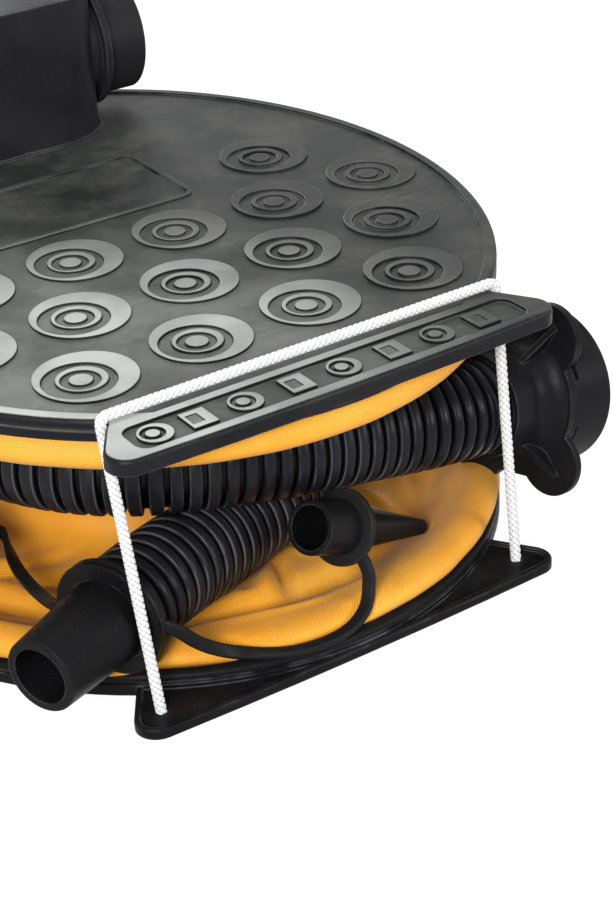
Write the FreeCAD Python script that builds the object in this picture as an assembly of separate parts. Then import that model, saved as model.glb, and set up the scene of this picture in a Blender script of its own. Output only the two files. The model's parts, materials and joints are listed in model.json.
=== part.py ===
"""Hinged bellows foot pump, folded for storage with its hose wound round the waist.

Frame: origin on the floor under the centre of the oval base, +X to the right along
the front bar, +Y back towards the hinge, +Z up. Millimetres.
"""
import FreeCAD
import Part
import math
import os
from FreeCAD import Placement, Rotation, Vector

os.makedirs("parts", exist_ok=True)

# ---------------------------------------------------------------- driving dimensions
PLATE_HALF_X = 138.5            # oval plates, half width
PLATE_HALF_Y = 160.5            # oval plates, half length
FRONT_Y = -PLATE_HALF_Y - 0.1   # straight front edge of both bars
BAR_BOW = 1.4                   # the front edge swells forward by this much
BAR_HALF_LENGTH = 89.0          # centre to ear tip
EAR_TIP_RADIUS = 8.0
EAR_ROOT_X = 77.5               # where the slanting back of an ear meets the oval
EAR_ROOT_DEPTH = 28.3           # behind the front edge

FOOT_STANDOFF = 0.8             # rubber feet stand this much below the base
FOOT_RADIUS = 9.0
FOOT_DEPTH = 1.2                # sunk into the base
FOOT_CLEARANCE = 0.1
FOOT_INSET_X = 50.5             # pads, from the oval's sides
FOOT_INSET_Y = 68.5             # and from its ends
FLOOR_THICKNESS = 2.2
WALL_HEIGHT = 8.2               # base wall, above the base's underside
WALL_THICKNESS = 5.0
WALL_GROOVE_DEPTH = 1.2
WALL_GROOVE_HEIGHT = 1.2
BASE_BAR_HEIGHT = 3.7           # front bar and its ears
BASE_BAR_ROUNDING = 0.9
WALL_ROUNDING = 1.6
BAR_LIP_WIDTH = 2.2
BAR_LIP_HEIGHT = 1.3

PEDAL_HEIGHT = 107.0            # top of the pedal at its front edge
PEDAL_TILT = 2.07               # degrees, higher at the back
PEDAL_THICKNESS = 8.0
PEDAL_BAR_THICKNESS = 6.0
PEDAL_SKIN = 2.6
RIM_WIDTH = 4.6
RIM_HEIGHT = 1.0
PEDAL_ROUNDING = 2.0            # top outer edge
SKIRT_GROOVE_TOP = 3.4          # groove round the pedal's side, below its top
BAR_FRAME_WIDTH = 3.4
BAR_FRAME_DEPTH = 23.0          # raised frame along the pedal's front bar
BAR_FRAME_HALF = 82.0
BAR_WELL_DEPTH = 1.4

CORD_DIAMETER = 4.0
CORD_OVER_PEDAL = 0.3           # gap between the cord and the pedal's top
CORD_STOP_GAP = 0.3
CORD_HOLE_DIAMETER = 4.8
CORD_HOLE_X = 77.3
CORD_HOLE_DEPTH = 11.9          # behind the front edge
NOTCH_X = 80.7
NOTCH_DEPTH = 26.6              # behind the front edge
NOTCH_CLEARANCE = 0.7
CORD_EDGE_RADIUS = 3.2          # bend of the taut cord over the pedal's edge
STOP_DIAMETER = 7.0
STOP_THICKNESS = 1.5
STOP_CLEARANCE = 0.5

FABRIC = 0.8                    # coated fabric
HEM_CLEARANCE = 0.3
HEM_LOW = 1.4                   # fabric hem, above the plate's inner face
HEM_TOP = 5.7
FLAT_LEVEL = 4.2                # flat annulus of fabric, above the plate's inner face
FLAT_OUTER = 118.0              # radii are those along X; Y follows the oval
FLAT_INNER = 72.0
FLAT_CREASE = 20.0              # fold in the flat annulus, outside its inner edge
HEM_ROUNDING = 1.6
HEM_SIDE = 4.5                  # height of the hem's upright side
HEM_TURN = 6.0                  # width of the hem's top
WAIST_RADIUS = 50.0
WAIST_PROFILE = [               # beyond the waist's radius, at a share of the rise to it
    (9.0, 0.05), (4.0, 0.20), (1.6, 0.5), (0.4, 0.8), (0.0, 1.0)]
WAIST_GAP = 4.0                 # between the two halves, filled by the hoop
CLAMP_WIDTH = 5.0
CLAMP_HEIGHT = 3.0
HOOP_WIRE_RADIUS = 2.2
HOOP_CLEARANCE = 0.9            # the waist shears a little as the pedal tilts

SPRING_RADIUS = 28.0
SPRING_WIRE = 3.6
SPRING_TURNS = 5
SEAT_RADIUS = 36.0
SEAT_THICKNESS = 2.4
SEAT_BOSS_HEIGHT = 7.0
SEAT_BOSS_WALL = 3.0
SPRING_CLEARANCE = 0.4

HINGE_Y = PLATE_HALF_Y + 5.5
HINGE_Z = 62.0
PIN_RADIUS = 4.0
PIN_CLEARANCE = 0.05
LUG_RADIUS = 9.0
LUG_THICKNESS = 8.0
LUG_INNER_X = 44.0
ARM_GAP = 0.6                   # side play between pedal arm and base lug
ARM_THICKNESS = 9.4
TONGUE_MARGIN = 4.0
CLIP_THICKNESS = 2.5
CLIP_RADIUS = 7.0
CLIP_GAP = 0.3
PIN_END = 1.5                   # pin beyond its clips

HOUSING_HALF_X = 54.0
HOUSING_BACK = PLATE_HALF_Y - 3.5
HOUSING_DEPTH = 69.0
HOUSING_FRONT = HOUSING_BACK - HOUSING_DEPTH
HOUSING_HEIGHT = 60.0
HOUSING_WALL = 3.0
HOUSING_CORNER = 24.0
HOUSING_PAD = 1.5               # flat pad round the housing's foot
COVER_THICKNESS = 3.0
COVER_CLEARANCE = 0.2
AIR_HOLE_RADIUS = 14.0
SCREW_RADIUS = 1.9
SCREW_CLEARANCE = 0.2
PILOT_CLEARANCE = 0.05
SCREW_HEAD_RADIUS = 3.6
SCREW_HEAD_HEIGHT = 2.0
SCREW_CROSS_HALF = 2.6          # cross recess in the head
SCREW_CROSS_WIDTH = 1.0
SCREW_CROSS_DEPTH = 1.0
SCREW_LENGTH = 12.0
POST_RADIUS = 4.6
SCREW_X = 37.0
SCREW_FRONT_INSET = 13.0
SCREW_BACK_INSET = 23.0

PORT_FROM_BACK = 35.0
PORT_Y = HOUSING_BACK - PORT_FROM_BACK
PORT_MARGIN = 2.0               # from the pedal's top face to the port's flange
PORT_RISE = 0.5                 # port axis above the housing's middle
PORT_LEVEL = HOUSING_HEIGHT / 2 + PORT_RISE
PORT_FLANGE_RADIUS = PORT_LEVEL - PORT_MARGIN
PORT_FLANGE_RIM = 3.5
PORT_RADIUS = PORT_FLANGE_RADIUS - PORT_FLANGE_RIM
PORT_WALL = 6.0
PORT_BORE = PORT_RADIUS - PORT_WALL
PORT_FLANGE_THICKNESS = 3.0
PORT_REACH = 18.0               # spigot, outside the flange
PORT_SPIGOT = 11.0              # inside the housing wall
PORT_CLEARANCE = 0.2
PORT_WEB = 2.0
SEAT_WIDTH = 6.0
SEAT_HOLE = PORT_BORE - SEAT_WIDTH
KEY_WIDTH = 5.2                 # two keys on the port's flange that the connector's slots take
KEY_REACH = 5.0
KEY_THICKNESS = 1.9
KEY_EDGE = 0.4                  # inside the flange's rim
FLAP_MARGIN = 2.5               # between the flap and the port's bore
FLAP_RADIUS = PORT_BORE - FLAP_MARGIN
FLAP_THICKNESS = 1.4
FLAP_LIFT = 3.0
FLAP_GAP = 0.1
CAGE_THICKNESS = 2.0
CAGE_HUB = 4.0
CAGE_SPOKE = 2.4
CAGE_RIM = 1.2
CAGE_CLEARANCE = 0.1

HOSE_RADIUS = 18.5
HOSE_WALL = 3.0
CONNECTOR_HEADING = 10.0        # degrees from +X
CONNECTOR_DIP = 8.0             # degrees below level
CONNECTOR_ROLL = -7.0           # degrees about its own axis
NECK_LENGTH = 10.0
NECK_WALL = 2.0
NECK_CLEARANCE = 0.1
FUNNEL_LENGTH = 11.0
FLANGE_THICKNESS = 3.0
FLANGE_RADIUS = PORT_FLANGE_RADIUS
LOBE_RADIUS = 13.5
LOBE_DISTANCE = 29.5
LOBE_ANGLE = 36.0               # degrees either side of straight up and straight down
GUSSET_THICKNESS = 2.4
COLLAR_LENGTH = 17.0
COLLAR_WALL = 3.2
COLLAR_FLARE = 2.6              # the collar widens this much towards its mouth
COLLAR_CLEARANCE = 0.4
KEYWAY_WIDTH = 6.0              # two grooves inside the collar, for the port's keys
KEYWAY_LENGTH = 7.0
KEYWAY_CLEARANCE = 0.6          # outside the keys
VENT_ANGLE = 25.0               # slits behind the flange, degrees above and below level
VENT_AT = 1.2                   # behind the flange
VENT_WIDTH = 1.6
VENT_LENGTH = 6.5
SEAL_THICKNESS = 2.0
SEAL_WIDTH = 2.6
SEAL_CLEARANCE = 0.1
SEAL_INSET = 0.4                # seal, inside the port's outer edge

NOZZLE_LENGTH = 38.0
NOZZLE_TIP_RADIUS = 13.5
NOZZLE_ROOT_RADIUS = 15.5
NOZZLE_BORE = 10.2
NOZZLE_FLANGE_RADIUS = 21.5
NOZZLE_FLANGE_THICKNESS = 2.4
NOZZLE_ROUNDING = 0.9
NOZZLE_SPIGOT_LENGTH = 16.0
SPIGOT_CLEARANCE = 0.3
STRAP_THICKNESS = 2.4           # flat rubber tether
STRAP_WIDTH = 4.8
STRAP_CLEARANCE = 0.1
TETHER_RING_THICKNESS = 2.8     # the tether's collar and its two rings

RIGHT_LENGTH = 71.5             # stepped adapter on the right tether
RIGHT_MOUTH_RADIUS = 9.9
RIGHT_BORE = 7.9
RIGHT_TIP_RADIUS = 3.0
RIGHT_TIP_BORE = 1.6
RIGHT_RING_AT = 18.0
LEFT_LENGTH = 46.0              # short adapter on the left tether
LEFT_MOUTH_RADIUS = 9.0
LEFT_BORE = 6.6
LEFT_TIP_RADIUS = 3.6
LEFT_TIP_BORE = 2.0
LEFT_RING_AT = 14.0
RING_GROOVE = 1.0
RING_WIDTH = 5.0
RING_SLACK = 0.4                # groove length over the ring's thickness
ADAPTER_CUFF = 1.6              # raised cuff behind the groove
ADAPTER_CUFF_DROP = 0.3         # below the mouth's radius
ADAPTER_STEP = 1.4              # from the mouth down to the taper
ADAPTER_ROUNDING = 0.8          # mouth's and tip's outer edges
COLLAR_LEAD = 1.2               # straight start of a strap, in strap widths
RING_LEAD = 1.4                 # and its straight end

# Where the loose pieces lie. Those at the front are placed from the front edge, and the
# nozzle rests against the closure cord.
NOZZLE_FLANGE_AT = (-CORD_HOLE_X - 4.7, FRONT_Y + 34.2, 31.0)
NOZZLE_MOUTH_TOWARDS = (-CORD_HOLE_X - 39.8, FRONT_Y + 18.3, 30.6)
NOZZLE_STRAIGHT = 30.0          # hose runs straight this far behind the nozzle's flange
CONNECTOR_STRAIGHT = 16.0       # and this far before the connector's neck
CONNECTOR_FLANGE_AT = (PLATE_HALF_X - 35.8, FRONT_Y + 44.4, 51.7)
HOSE_LOW_RUN = [                # x, distance behind the front edge, z
    (-20.1, 62.3, 26.6), (12, 76.6, 26.6), (50, 98.6, 29), (72, 132.6, 33)]
HOSE_ROUND_BACK = [
    (78, 12, 38), (68, 52, 43), (40, 82, 48), (0, 92, 52.5), (-40, 82, 57),
    (-70, 52, 60.5), (-84, 14, 63)]
HOSE_HIGH_RUN = [               # x, distance behind the front edge, z
    (-86, 132.6, 65), (-76, 94.6, 66), (-55, 68.1, 66), (-29, 55.8, 65),
    (-4.6, 48.3, 63), (30, 42.8, 60.5)]
RIGHT_MOUTH_AT = (-7.8, FRONT_Y + 20.4, 45.0)
RIGHT_TIP_TOWARDS = (55.6, FRONT_Y + 39.4, 12.8)
LEFT_MOUTH_AT = (43.5 - PLATE_HALF_X, FRONT_Y + 118.6, 24.0)
LEFT_TIP_TOWARDS = (51.5 - PLATE_HALF_X, FRONT_Y + 164.6, 19.0)
RIGHT_TETHER_ROUTE = [          # x, distance behind the front edge, z
    (-59.5, 12.1, 22), (-45.5, 11.1, 13.2), (-28, 2.2, 10.9), (-9, 0.6, 10.9),
    (4, 5.2, 13.5), (8.8, 9.6, 20)]
LEFT_TETHER_ROUTE = [           # x from the oval's left side, distance behind the front edge, z
    (51, 69.6, 22.5), (52.5, 87.6, 20), (55.5, 105.6, 19), (60.5, 120.6, 19.5)]
RIGHT_COLLAR_ANGLE = 84.0       # where a tether leaves a ring, degrees from straight up
LEFT_COLLAR_ANGLE = 262.0       # and round to the front of the ring's axis
RIGHT_RING_ANGLE = 125.0
LEFT_RING_ANGLE = 98.0

# ---------------------------------------------------------------- derived places
BASE_UNDERSIDE = FOOT_STANDOFF
BASE_FLOOR = BASE_UNDERSIDE + FLOOR_THICKNESS
WALL_TOP = BASE_UNDERSIDE + WALL_HEIGHT
OVAL_RATIO = PLATE_HALF_Y / PLATE_HALF_X
UP = Vector(0, 0, 1)
RIGHT = Vector(1, 0, 0)
NOZZLE_FLANGE = Vector(*NOZZLE_FLANGE_AT)
CONNECTOR_FLANGE = Vector(*CONNECTOR_FLANGE_AT)
WIDE = 1000.0                   # larger than the pump, for cutting tools


# ---------------------------------------------------------------- shape helpers
def prism(face, height):
    return face.extrude(Vector(0, 0, height))


def slab(inset, z_low, z_high):
    """A flat oval, inset from the plates' outline."""
    return oval(PLATE_HALF_X - inset, PLATE_HALF_Y - inset, z_low, z_high)


def oval(half_x, half_y, z_low, z_high):
    centre = Vector(0, 0, z_low)
    on_x = Vector(half_x, 0, z_low)
    on_y = Vector(0, half_y, z_low)
    if half_y >= half_x:
        ellipse = Part.Ellipse(on_y, on_x, centre)
    else:
        ellipse = Part.Ellipse(on_x, on_y, centre)
    return prism(Part.Face(Part.Wire(ellipse.toShape())), z_high - z_low)


def oval_ring(inset_outer, inset_inner, z_low, z_high):
    return slab(inset_outer, z_low, z_high).cut(slab(inset_inner, z_low - 1, z_high + 1))


def cylinder(radius, height, at, direction=UP):
    return Part.makeCylinder(radius, height, at, direction)


def box(x_low, x_high, y_low, y_high, z_low, z_high):
    size = (x_high - x_low, y_high - y_low, z_high - z_low)
    return Part.makeBox(*size, Vector(x_low, y_low, z_low))


def fuse(shapes):
    return shapes[0].multiFuse(shapes[1:]).removeSplitter()


def turned(profile, at, direction):
    """A solid of revolution. profile has (distance along the axis, radius); a corner that
    another two numbers follow is reached along an arc through them."""
    edges = []
    start = Vector(profile[-1][1], 0, profile[-1][0])
    for along, radius, *via in profile:
        end = Vector(radius, 0, along)
        edge = Part.Arc(start, Vector(via[1], 0, via[0]), end) if via else Part.LineSegment(start, end)
        edges.append(edge.toShape())
        start = end
    face = Part.Face(Part.Wire(edges))
    solid = face.revolve(Vector(0, 0, 0), UP, 360)
    solid.Placement = Placement(at, Rotation(UP, direction))
    return solid


def rounded_corner(along, radius, rounding, side):
    """The two ends of an outer edge's rounding; side is -1 at a start face, 1 at an end."""
    cut = rounding * (1 - math.sqrt(0.5))
    on_face = (along, radius - rounding)
    on_rim = (along - side * rounding, radius)
    via = (along - side * cut, radius - cut)
    return [on_face, on_rim + via] if side < 0 else [on_rim, on_face + via]


def rounded_edges(shape, rounding, level):
    """Rounds the edges that lie flat at one level."""
    box_of = [(edge, edge.BoundBox) for edge in shape.Edges]
    flat = [edge for edge, bound in box_of
            if abs(bound.ZMin - level) < 0.01 and abs(bound.ZMax - level) < 0.01]
    return shape.makeFillet(rounding, flat)


def rounded_path(points, radius_at):
    """Straight runs joined by tangent arcs, one at each inner point."""
    edges = []
    radii = []
    start = points[0]
    for index in range(1, len(points) - 1):
        corner = points[index]
        back = (points[index - 1] - corner)
        ahead = (points[index + 1] - corner)
        half_turn = (math.pi - back.getAngle(ahead)) / 2
        reach = radius_at(index, back.Length, ahead.Length, half_turn) * math.tan(half_turn)
        back.normalize()
        ahead.normalize()
        arc_start = corner + back * reach
        arc_end = corner + ahead * reach
        middle = back + ahead
        middle.normalize()
        radius = reach / math.tan(half_turn)
        radii.append(round(radius, 1))
        sag = radius / math.cos(half_turn) - radius
        edges.append(Part.LineSegment(start, arc_start).toShape())
        edges.append(Part.Arc(arc_start, corner + middle * sag, arc_end).toShape())
        start = arc_end
    edges.append(Part.LineSegment(start, points[-1]).toShape())
    print("bend radii", radii)
    return Part.Wire(edges)


def flowing(index, run_back, run_ahead, half_turn):
    """The largest arc that two runs leave room for."""
    return 0.45 * min(run_back, run_ahead) / math.tan(half_turn)


def tube(points, radius, radius_at=flowing, bore=0.0):
    path = rounded_path(points, radius_at)
    start = path.Edges[0].Vertexes[0].Point
    heading = points[1] - points[0]

    def swept(section_radius):
        circle = Part.Wire(Part.Circle(start, heading, section_radius).toShape())
        return path.makePipeShell([circle], True, False)

    solid = swept(radius)
    if bore:
        solid = solid.cut(swept(bore))
    return solid


def strap(points, start_face, end_face):
    """A flat band along a rounded path: level midway, turned to a given face at each end."""
    path = rounded_path(points, flowing)
    stations = [(path.Edges[0], 0.0)]
    stations += [(edge, 0.5) for edge in path.Edges]
    stations.append((path.Edges[-1], 1.0))
    places = []
    headings = []
    for edge, share in stations:
        parameter = edge.getParameterByLength(share * edge.Length)
        places.append(edge.valueAt(parameter))
        headings.append(edge.tangentAt(parameter))
    faces = [start_face]
    for before, heading in zip(headings, headings[1:]):
        faces.append(Rotation(before, heading).multVec(faces[-1]))
    middle = len(places) // 2
    twist_middle = signed_angle(faces[middle], UP, headings[middle])
    twist_end = signed_angle(faces[-1], end_face, headings[-1])
    sections = []
    for index, (at, heading, face) in enumerate(zip(places, headings, faces)):
        if index <= middle:
            twist = twist_middle * eased(index / middle)
        else:
            share = eased((index - middle) / (len(places) - 1 - middle))
            twist = twist_middle + (twist_end - twist_middle) * share
        up = Rotation(heading, math.degrees(twist)).multVec(face)
        across = heading.cross(up)
        corners = [at + across * (x * STRAP_WIDTH / 2) + up * (z * STRAP_THICKNESS / 2)
                   for x, z in ((-1, -1), (1, -1), (1, 1), (-1, 1), (-1, -1))]
        sections.append(Part.makePolygon(corners))
    return Part.makeLoft(sections, True, False)


def signed_angle(face, wanted, axis):
    """How far a direction turns about an axis to point as nearly as it can at another."""
    flat = wanted - axis * wanted.dot(axis)
    return math.atan2(face.cross(flat).dot(axis), face.dot(flat))


def eased(share):
    return share * share * (3 - 2 * share)


def on_pedal(shape):
    """From the pedal's own flat frame (z = 0 at its top face) to its tilted place."""
    placed = shape.copy()
    placed.translate(Vector(0, -FRONT_Y, 0))
    tilt = Placement(Vector(0, FRONT_Y, PEDAL_HEIGHT), Rotation(RIGHT, PEDAL_TILT))
    return placed.transformed(tilt.toMatrix(), copy=True)


def pedal_point(x, y, z):
    angle = math.radians(PEDAL_TILT)
    along = y - FRONT_Y
    return Vector(
        x,
        FRONT_Y + along * math.cos(angle) - z * math.sin(angle),
        PEDAL_HEIGHT + along * math.sin(angle) + z * math.cos(angle))


def export(name, shape):
    shape.exportStep("parts/%s.step" % name)


# ---------------------------------------------------------------- outlines
def bar_face(inset, z):
    """The straight front bar with its two pointed ears, inset from its outline."""
    tip = EAR_TIP_RADIUS - inset
    tip_x = BAR_HALF_LENGTH - EAR_TIP_RADIUS
    tip_y = FRONT_Y + EAR_TIP_RADIUS
    root = Vector(EAR_ROOT_X, FRONT_Y + EAR_ROOT_DEPTH, 0)
    slope = root - Vector(tip_x, tip_y, 0)
    slant = math.atan2(slope.y, slope.x) + math.asin(EAR_TIP_RADIUS / slope.Length)
    outward = Vector(math.sin(slant), -math.cos(slant), 0)
    shoulder = Vector(tip_x, tip_y, 0) + outward * tip
    heading = Vector(math.cos(slant), math.sin(slant), 0)
    end = shoulder + heading * slope.Length * math.cos(math.asin(EAR_TIP_RADIUS / slope.Length))
    nose_angle = (slant - math.pi) / 2
    nose = Vector(tip_x + tip * math.cos(nose_angle), tip_y + tip * math.sin(nose_angle), 0)
    front = Vector(tip_x, tip_y - tip, 0)

    def both(point, side):
        return Vector(side * point.x, point.y, z)

    edges = [
        Part.Arc(both(front, -1), Vector(0, FRONT_Y - BAR_BOW + inset, z), both(front, 1)),
        Part.Arc(both(front, 1), both(nose, 1), both(shoulder, 1)),
        Part.LineSegment(both(shoulder, 1), both(end, 1)),
        Part.LineSegment(both(end, 1), both(end, -1)),
        Part.LineSegment(both(end, -1), both(shoulder, -1)),
        Part.Arc(both(shoulder, -1), both(nose, -1), both(front, -1))]
    return Part.Face(Part.Wire([edge.toShape() for edge in edges]))


def rear_tongue(z_low, z_high):
    half = LUG_INNER_X + LUG_THICKNESS + TONGUE_MARGIN
    inner = PLATE_HALF_Y * math.sqrt(1 - (half / PLATE_HALF_X) ** 2) - WALL_THICKNESS
    return box(-half, half, inner, HINGE_Y + LUG_RADIUS, z_low, z_high)


# ---------------------------------------------------------------- base
def base_plate():
    wall = oval_ring(0, WALL_THICKNESS, BASE_UNDERSIDE, WALL_TOP)
    groove_low = BASE_UNDERSIDE + BASE_BAR_HEIGHT + WALL_GROOVE_HEIGHT / 2
    groove = slab(-1, groove_low, groove_low + WALL_GROOVE_HEIGHT)
    groove = groove.cut(slab(WALL_GROOVE_DEPTH, groove_low - 1, WALL_TOP))
    wall = rounded_edges(wall, WALL_ROUNDING, WALL_TOP).cut(groove)
    floor = slab(1, BASE_UNDERSIDE, BASE_FLOOR)
    bar = prism(bar_face(0, BASE_UNDERSIDE), BASE_BAR_HEIGHT)
    bar = rounded_edges(bar, BASE_BAR_ROUNDING, BASE_UNDERSIDE + BASE_BAR_HEIGHT)
    well = prism(bar_face(BAR_LIP_WIDTH, BASE_UNDERSIDE + BASE_BAR_HEIGHT - BAR_LIP_HEIGHT), WIDE)
    bar = bar.cut(well)
    inside = slab(WALL_THICKNESS, BASE_FLOOR, BASE_FLOOR + WIDE)
    tongue = rear_tongue(BASE_UNDERSIDE, WALL_TOP)
    body = fuse([wall, floor, bar.cut(inside), tongue.cut(inside)] + base_lugs())
    for side in (-1, 1):
        hole_at = Vector(side * CORD_HOLE_X, FRONT_Y + CORD_HOLE_DEPTH, -1)
        body = body.cut(cylinder(CORD_HOLE_DIAMETER / 2, WALL_TOP + 2, hole_at))
        pocket = STOP_DIAMETER / 2 + STOP_CLEARANCE
        depth = STOP_THICKNESS + STOP_CLEARANCE + BASE_UNDERSIDE + 1
        body = body.cut(cylinder(pocket, depth, hole_at))
    for x, y in foot_places():
        pocket_at = Vector(x, y, BASE_UNDERSIDE - 1)
        body = body.cut(cylinder(FOOT_RADIUS, FOOT_DEPTH + 1, pocket_at))
    boss_radius = SPRING_RADIUS - SPRING_WIRE / 2 - SPRING_CLEARANCE - SEAT_BOSS_WALL
    body = body.fuse(cylinder(boss_radius - HEM_CLEARANCE, SEAT_THICKNESS, Vector(0, 0, BASE_FLOOR)))
    pin_at = Vector(-WIDE / 2, HINGE_Y, HINGE_Z)
    return body.cut(cylinder(PIN_RADIUS + PIN_CLEARANCE, WIDE, pin_at, RIGHT))


def base_lugs():
    lugs = []
    for side in (-1, 1):
        x_low = LUG_INNER_X if side > 0 else -LUG_INNER_X - LUG_THICKNESS
        eye = cylinder(LUG_RADIUS, LUG_THICKNESS, Vector(x_low, HINGE_Y, HINGE_Z), RIGHT)
        stem = box(x_low, x_low + LUG_THICKNESS, HINGE_Y - LUG_RADIUS, HINGE_Y + LUG_RADIUS,
                   BASE_UNDERSIDE, HINGE_Z)
        lugs += [eye, stem]
    return lugs


def foot_places():
    """One pad under the spring and one under each quarter of the oval."""
    x = PLATE_HALF_X - FOOT_INSET_X
    y = PLATE_HALF_Y - FOOT_INSET_Y
    return [(0.0, 0.0), (-x, -y), (-x, y), (x, -y), (x, y)]


def rubber_feet():
    height = FOOT_DEPTH + FOOT_STANDOFF
    return Part.makeCompound([cylinder(FOOT_RADIUS - FOOT_CLEARANCE, height, Vector(x, y, 0))
                              for x, y in foot_places()])


# ---------------------------------------------------------------- bellows
def bellows_half():
    """One half of the bellows, standing on z = 0, the inner face of its plate."""
    hem = PLATE_HALF_X - WALL_THICKNESS - HEM_CLEARANCE
    rise = waist_height() - WAIST_GAP / 2 - FLAT_LEVEL
    profile = [
        (hem, HEM_LOW), (hem, HEM_SIDE), (hem - HEM_ROUNDING, HEM_TOP),
        (hem - HEM_TURN, HEM_TOP), (FLAT_OUTER, FLAT_LEVEL),
        (FLAT_INNER + FLAT_CREASE, FLAT_LEVEL), (FLAT_INNER, FLAT_LEVEL)]
    profile += [(WAIST_RADIUS + beyond, FLAT_LEVEL + share * rise)
                for beyond, share in WAIST_PROFILE]
    outer = [Vector(radius, 0, z) for radius, z in profile]
    inner = [point - Vector(FABRIC, 0, FABRIC) for point in outer]
    inner[0].z = outer[0].z
    inner[-1].z = outer[-1].z
    face = Part.Face(Part.makePolygon(outer + inner[::-1] + outer[:1]))
    solid = face.revolve(Vector(0, 0, 0), UP, 360)
    stretch = FreeCAD.Matrix()
    stretch.scale(1, OVAL_RATIO, 1)
    return solid.transformGeometry(stretch)


def waist_height():
    """From either plate's inner face to the middle of the waist."""
    ceiling = pedal_point(0, 0, -PEDAL_SKIN).z
    return (ceiling - BASE_FLOOR) / 2


def lower_bellows():
    half = bellows_half()
    half.translate(Vector(0, 0, BASE_FLOOR))
    return half


def upper_bellows():
    half = bellows_half().mirror(Vector(0, 0, 0), UP)
    half.translate(Vector(0, 0, -PEDAL_SKIN))
    return on_pedal(half)


def clamp_ring():
    outer = PLATE_HALF_X - WALL_THICKNESS - 2 * HEM_CLEARANCE - FABRIC
    inner = outer - CLAMP_WIDTH
    ring = oval(outer, outer * OVAL_RATIO, 0, CLAMP_HEIGHT)
    return ring.cut(oval(inner, inner * OVAL_RATIO, -1, CLAMP_HEIGHT + 1))


def base_bellows_ring():
    ring = clamp_ring()
    ring.translate(Vector(0, 0, BASE_FLOOR))
    return ring


def pedal_bellows_ring():
    ring = clamp_ring()
    ring.translate(Vector(0, 0, -PEDAL_SKIN - CLAMP_HEIGHT))
    return on_pedal(ring)


def waist_hoop():
    radius = WAIST_RADIUS - FABRIC - HOOP_CLEARANCE - HOOP_WIRE_RADIUS
    torus = Part.makeTorus(radius, HOOP_WIRE_RADIUS)
    stretch = FreeCAD.Matrix()
    stretch.scale(1, OVAL_RATIO, 1)
    hoop = torus.transformGeometry(stretch)
    upper_waist = pedal_point(0, 0, -PEDAL_SKIN - waist_height())
    middle = (Vector(0, 0, BASE_FLOOR + waist_height()) + upper_waist) * 0.5
    return hoop.transformed(Placement(middle, Rotation(RIGHT, PEDAL_TILT / 2)).toMatrix())


# ---------------------------------------------------------------- return spring
def spring_seat():
    """A plastic seat on z = 0 with a ring boss that centres the spring."""
    boss_outer = SPRING_RADIUS - SPRING_WIRE / 2 - SPRING_CLEARANCE
    boss_inner = boss_outer - SEAT_BOSS_WALL
    seat = cylinder(SEAT_RADIUS, SEAT_THICKNESS, Vector(0, 0, 0))
    boss = cylinder(boss_outer, SEAT_BOSS_HEIGHT, Vector(0, 0, 0))
    hollow = cylinder(boss_inner, SEAT_BOSS_HEIGHT + 2, Vector(0, 0, -1))
    return seat.fuse(boss).cut(hollow)


def base_spring_seat():
    seat = spring_seat()
    seat.translate(Vector(0, 0, BASE_FLOOR))
    return seat


def pedal_spring_seat():
    seat = spring_seat().mirror(Vector(0, 0, 0), UP)
    seat.translate(Vector(0, 0, -PEDAL_SKIN))
    return on_pedal(seat)


def return_spring():
    low = BASE_FLOOR + SEAT_THICKNESS + SPRING_WIRE / 2 + SPRING_CLEARANCE
    seat_face = pedal_point(0, -SPRING_RADIUS, -PEDAL_SKIN - SEAT_THICKNESS).z
    high = seat_face - SPRING_WIRE / 2 - SPRING_CLEARANCE
    helix = Part.makeHelix((high - low) / SPRING_TURNS, high - low, SPRING_RADIUS)
    helix.translate(Vector(0, 0, low))
    start = helix.Edges[0].valueAt(helix.Edges[0].FirstParameter)
    heading = helix.Edges[0].tangentAt(helix.Edges[0].FirstParameter)
    circle = Part.Wire(Part.Circle(start, heading, SPRING_WIRE / 2).toShape())
    return Part.Wire(helix.Edges).makePipeShell([circle], True, True)


# ---------------------------------------------------------------- pedal
def pedal_plate():
    plate = slab(0, -PEDAL_THICKNESS, 0)
    bar = prism(bar_face(0, -PEDAL_BAR_THICKNESS), PEDAL_BAR_THICKNESS)
    tongue = rear_tongue(-PEDAL_THICKNESS, 0)
    groove = slab(-1, -SKIRT_GROOVE_TOP - WALL_GROOVE_HEIGHT, -SKIRT_GROOVE_TOP)
    plate = plate.cut(groove.cut(slab(WALL_GROOVE_DEPTH, -PEDAL_THICKNESS, 0)))
    body = rounded_edges(fuse([plate, bar, tongue]), PEDAL_ROUNDING, 0)
    body = body.cut(slab(WALL_THICKNESS, -PEDAL_THICKNESS - 1, -PEDAL_SKIN))
    body = body.cut(tread_recess())
    body = body.cut(bar_well())
    air_at = Vector(0, PORT_Y, -PEDAL_THICKNESS)
    body = body.cut(cylinder(AIR_HOLE_RADIUS, PEDAL_THICKNESS + 1, air_at))
    for x, y in housing_screw_places():
        hole_at = Vector(x, y, -PEDAL_THICKNESS)
        body = body.cut(cylinder(SCREW_RADIUS + SCREW_CLEARANCE, PEDAL_THICKNESS + 1, hole_at))
    return on_pedal(body).fuse(pedal_arms()).cut([arm_bore(), cord_notch(-1), cord_notch(1)])


def cord_notch(side):
    """The way of the taut cord past the pedal's edge, open to the side."""
    hole, corner = cord_leg(side)
    heading = (corner - hole).normalize()
    width = CORD_DIAMETER / 2 + NOTCH_CLEARANCE
    low = hole + heading * (PEDAL_HEIGHT / 2)
    way = cylinder(width, PEDAL_HEIGHT, low, heading)
    return way.fuse(way.translated(Vector(side * width, 0, 0)))


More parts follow.
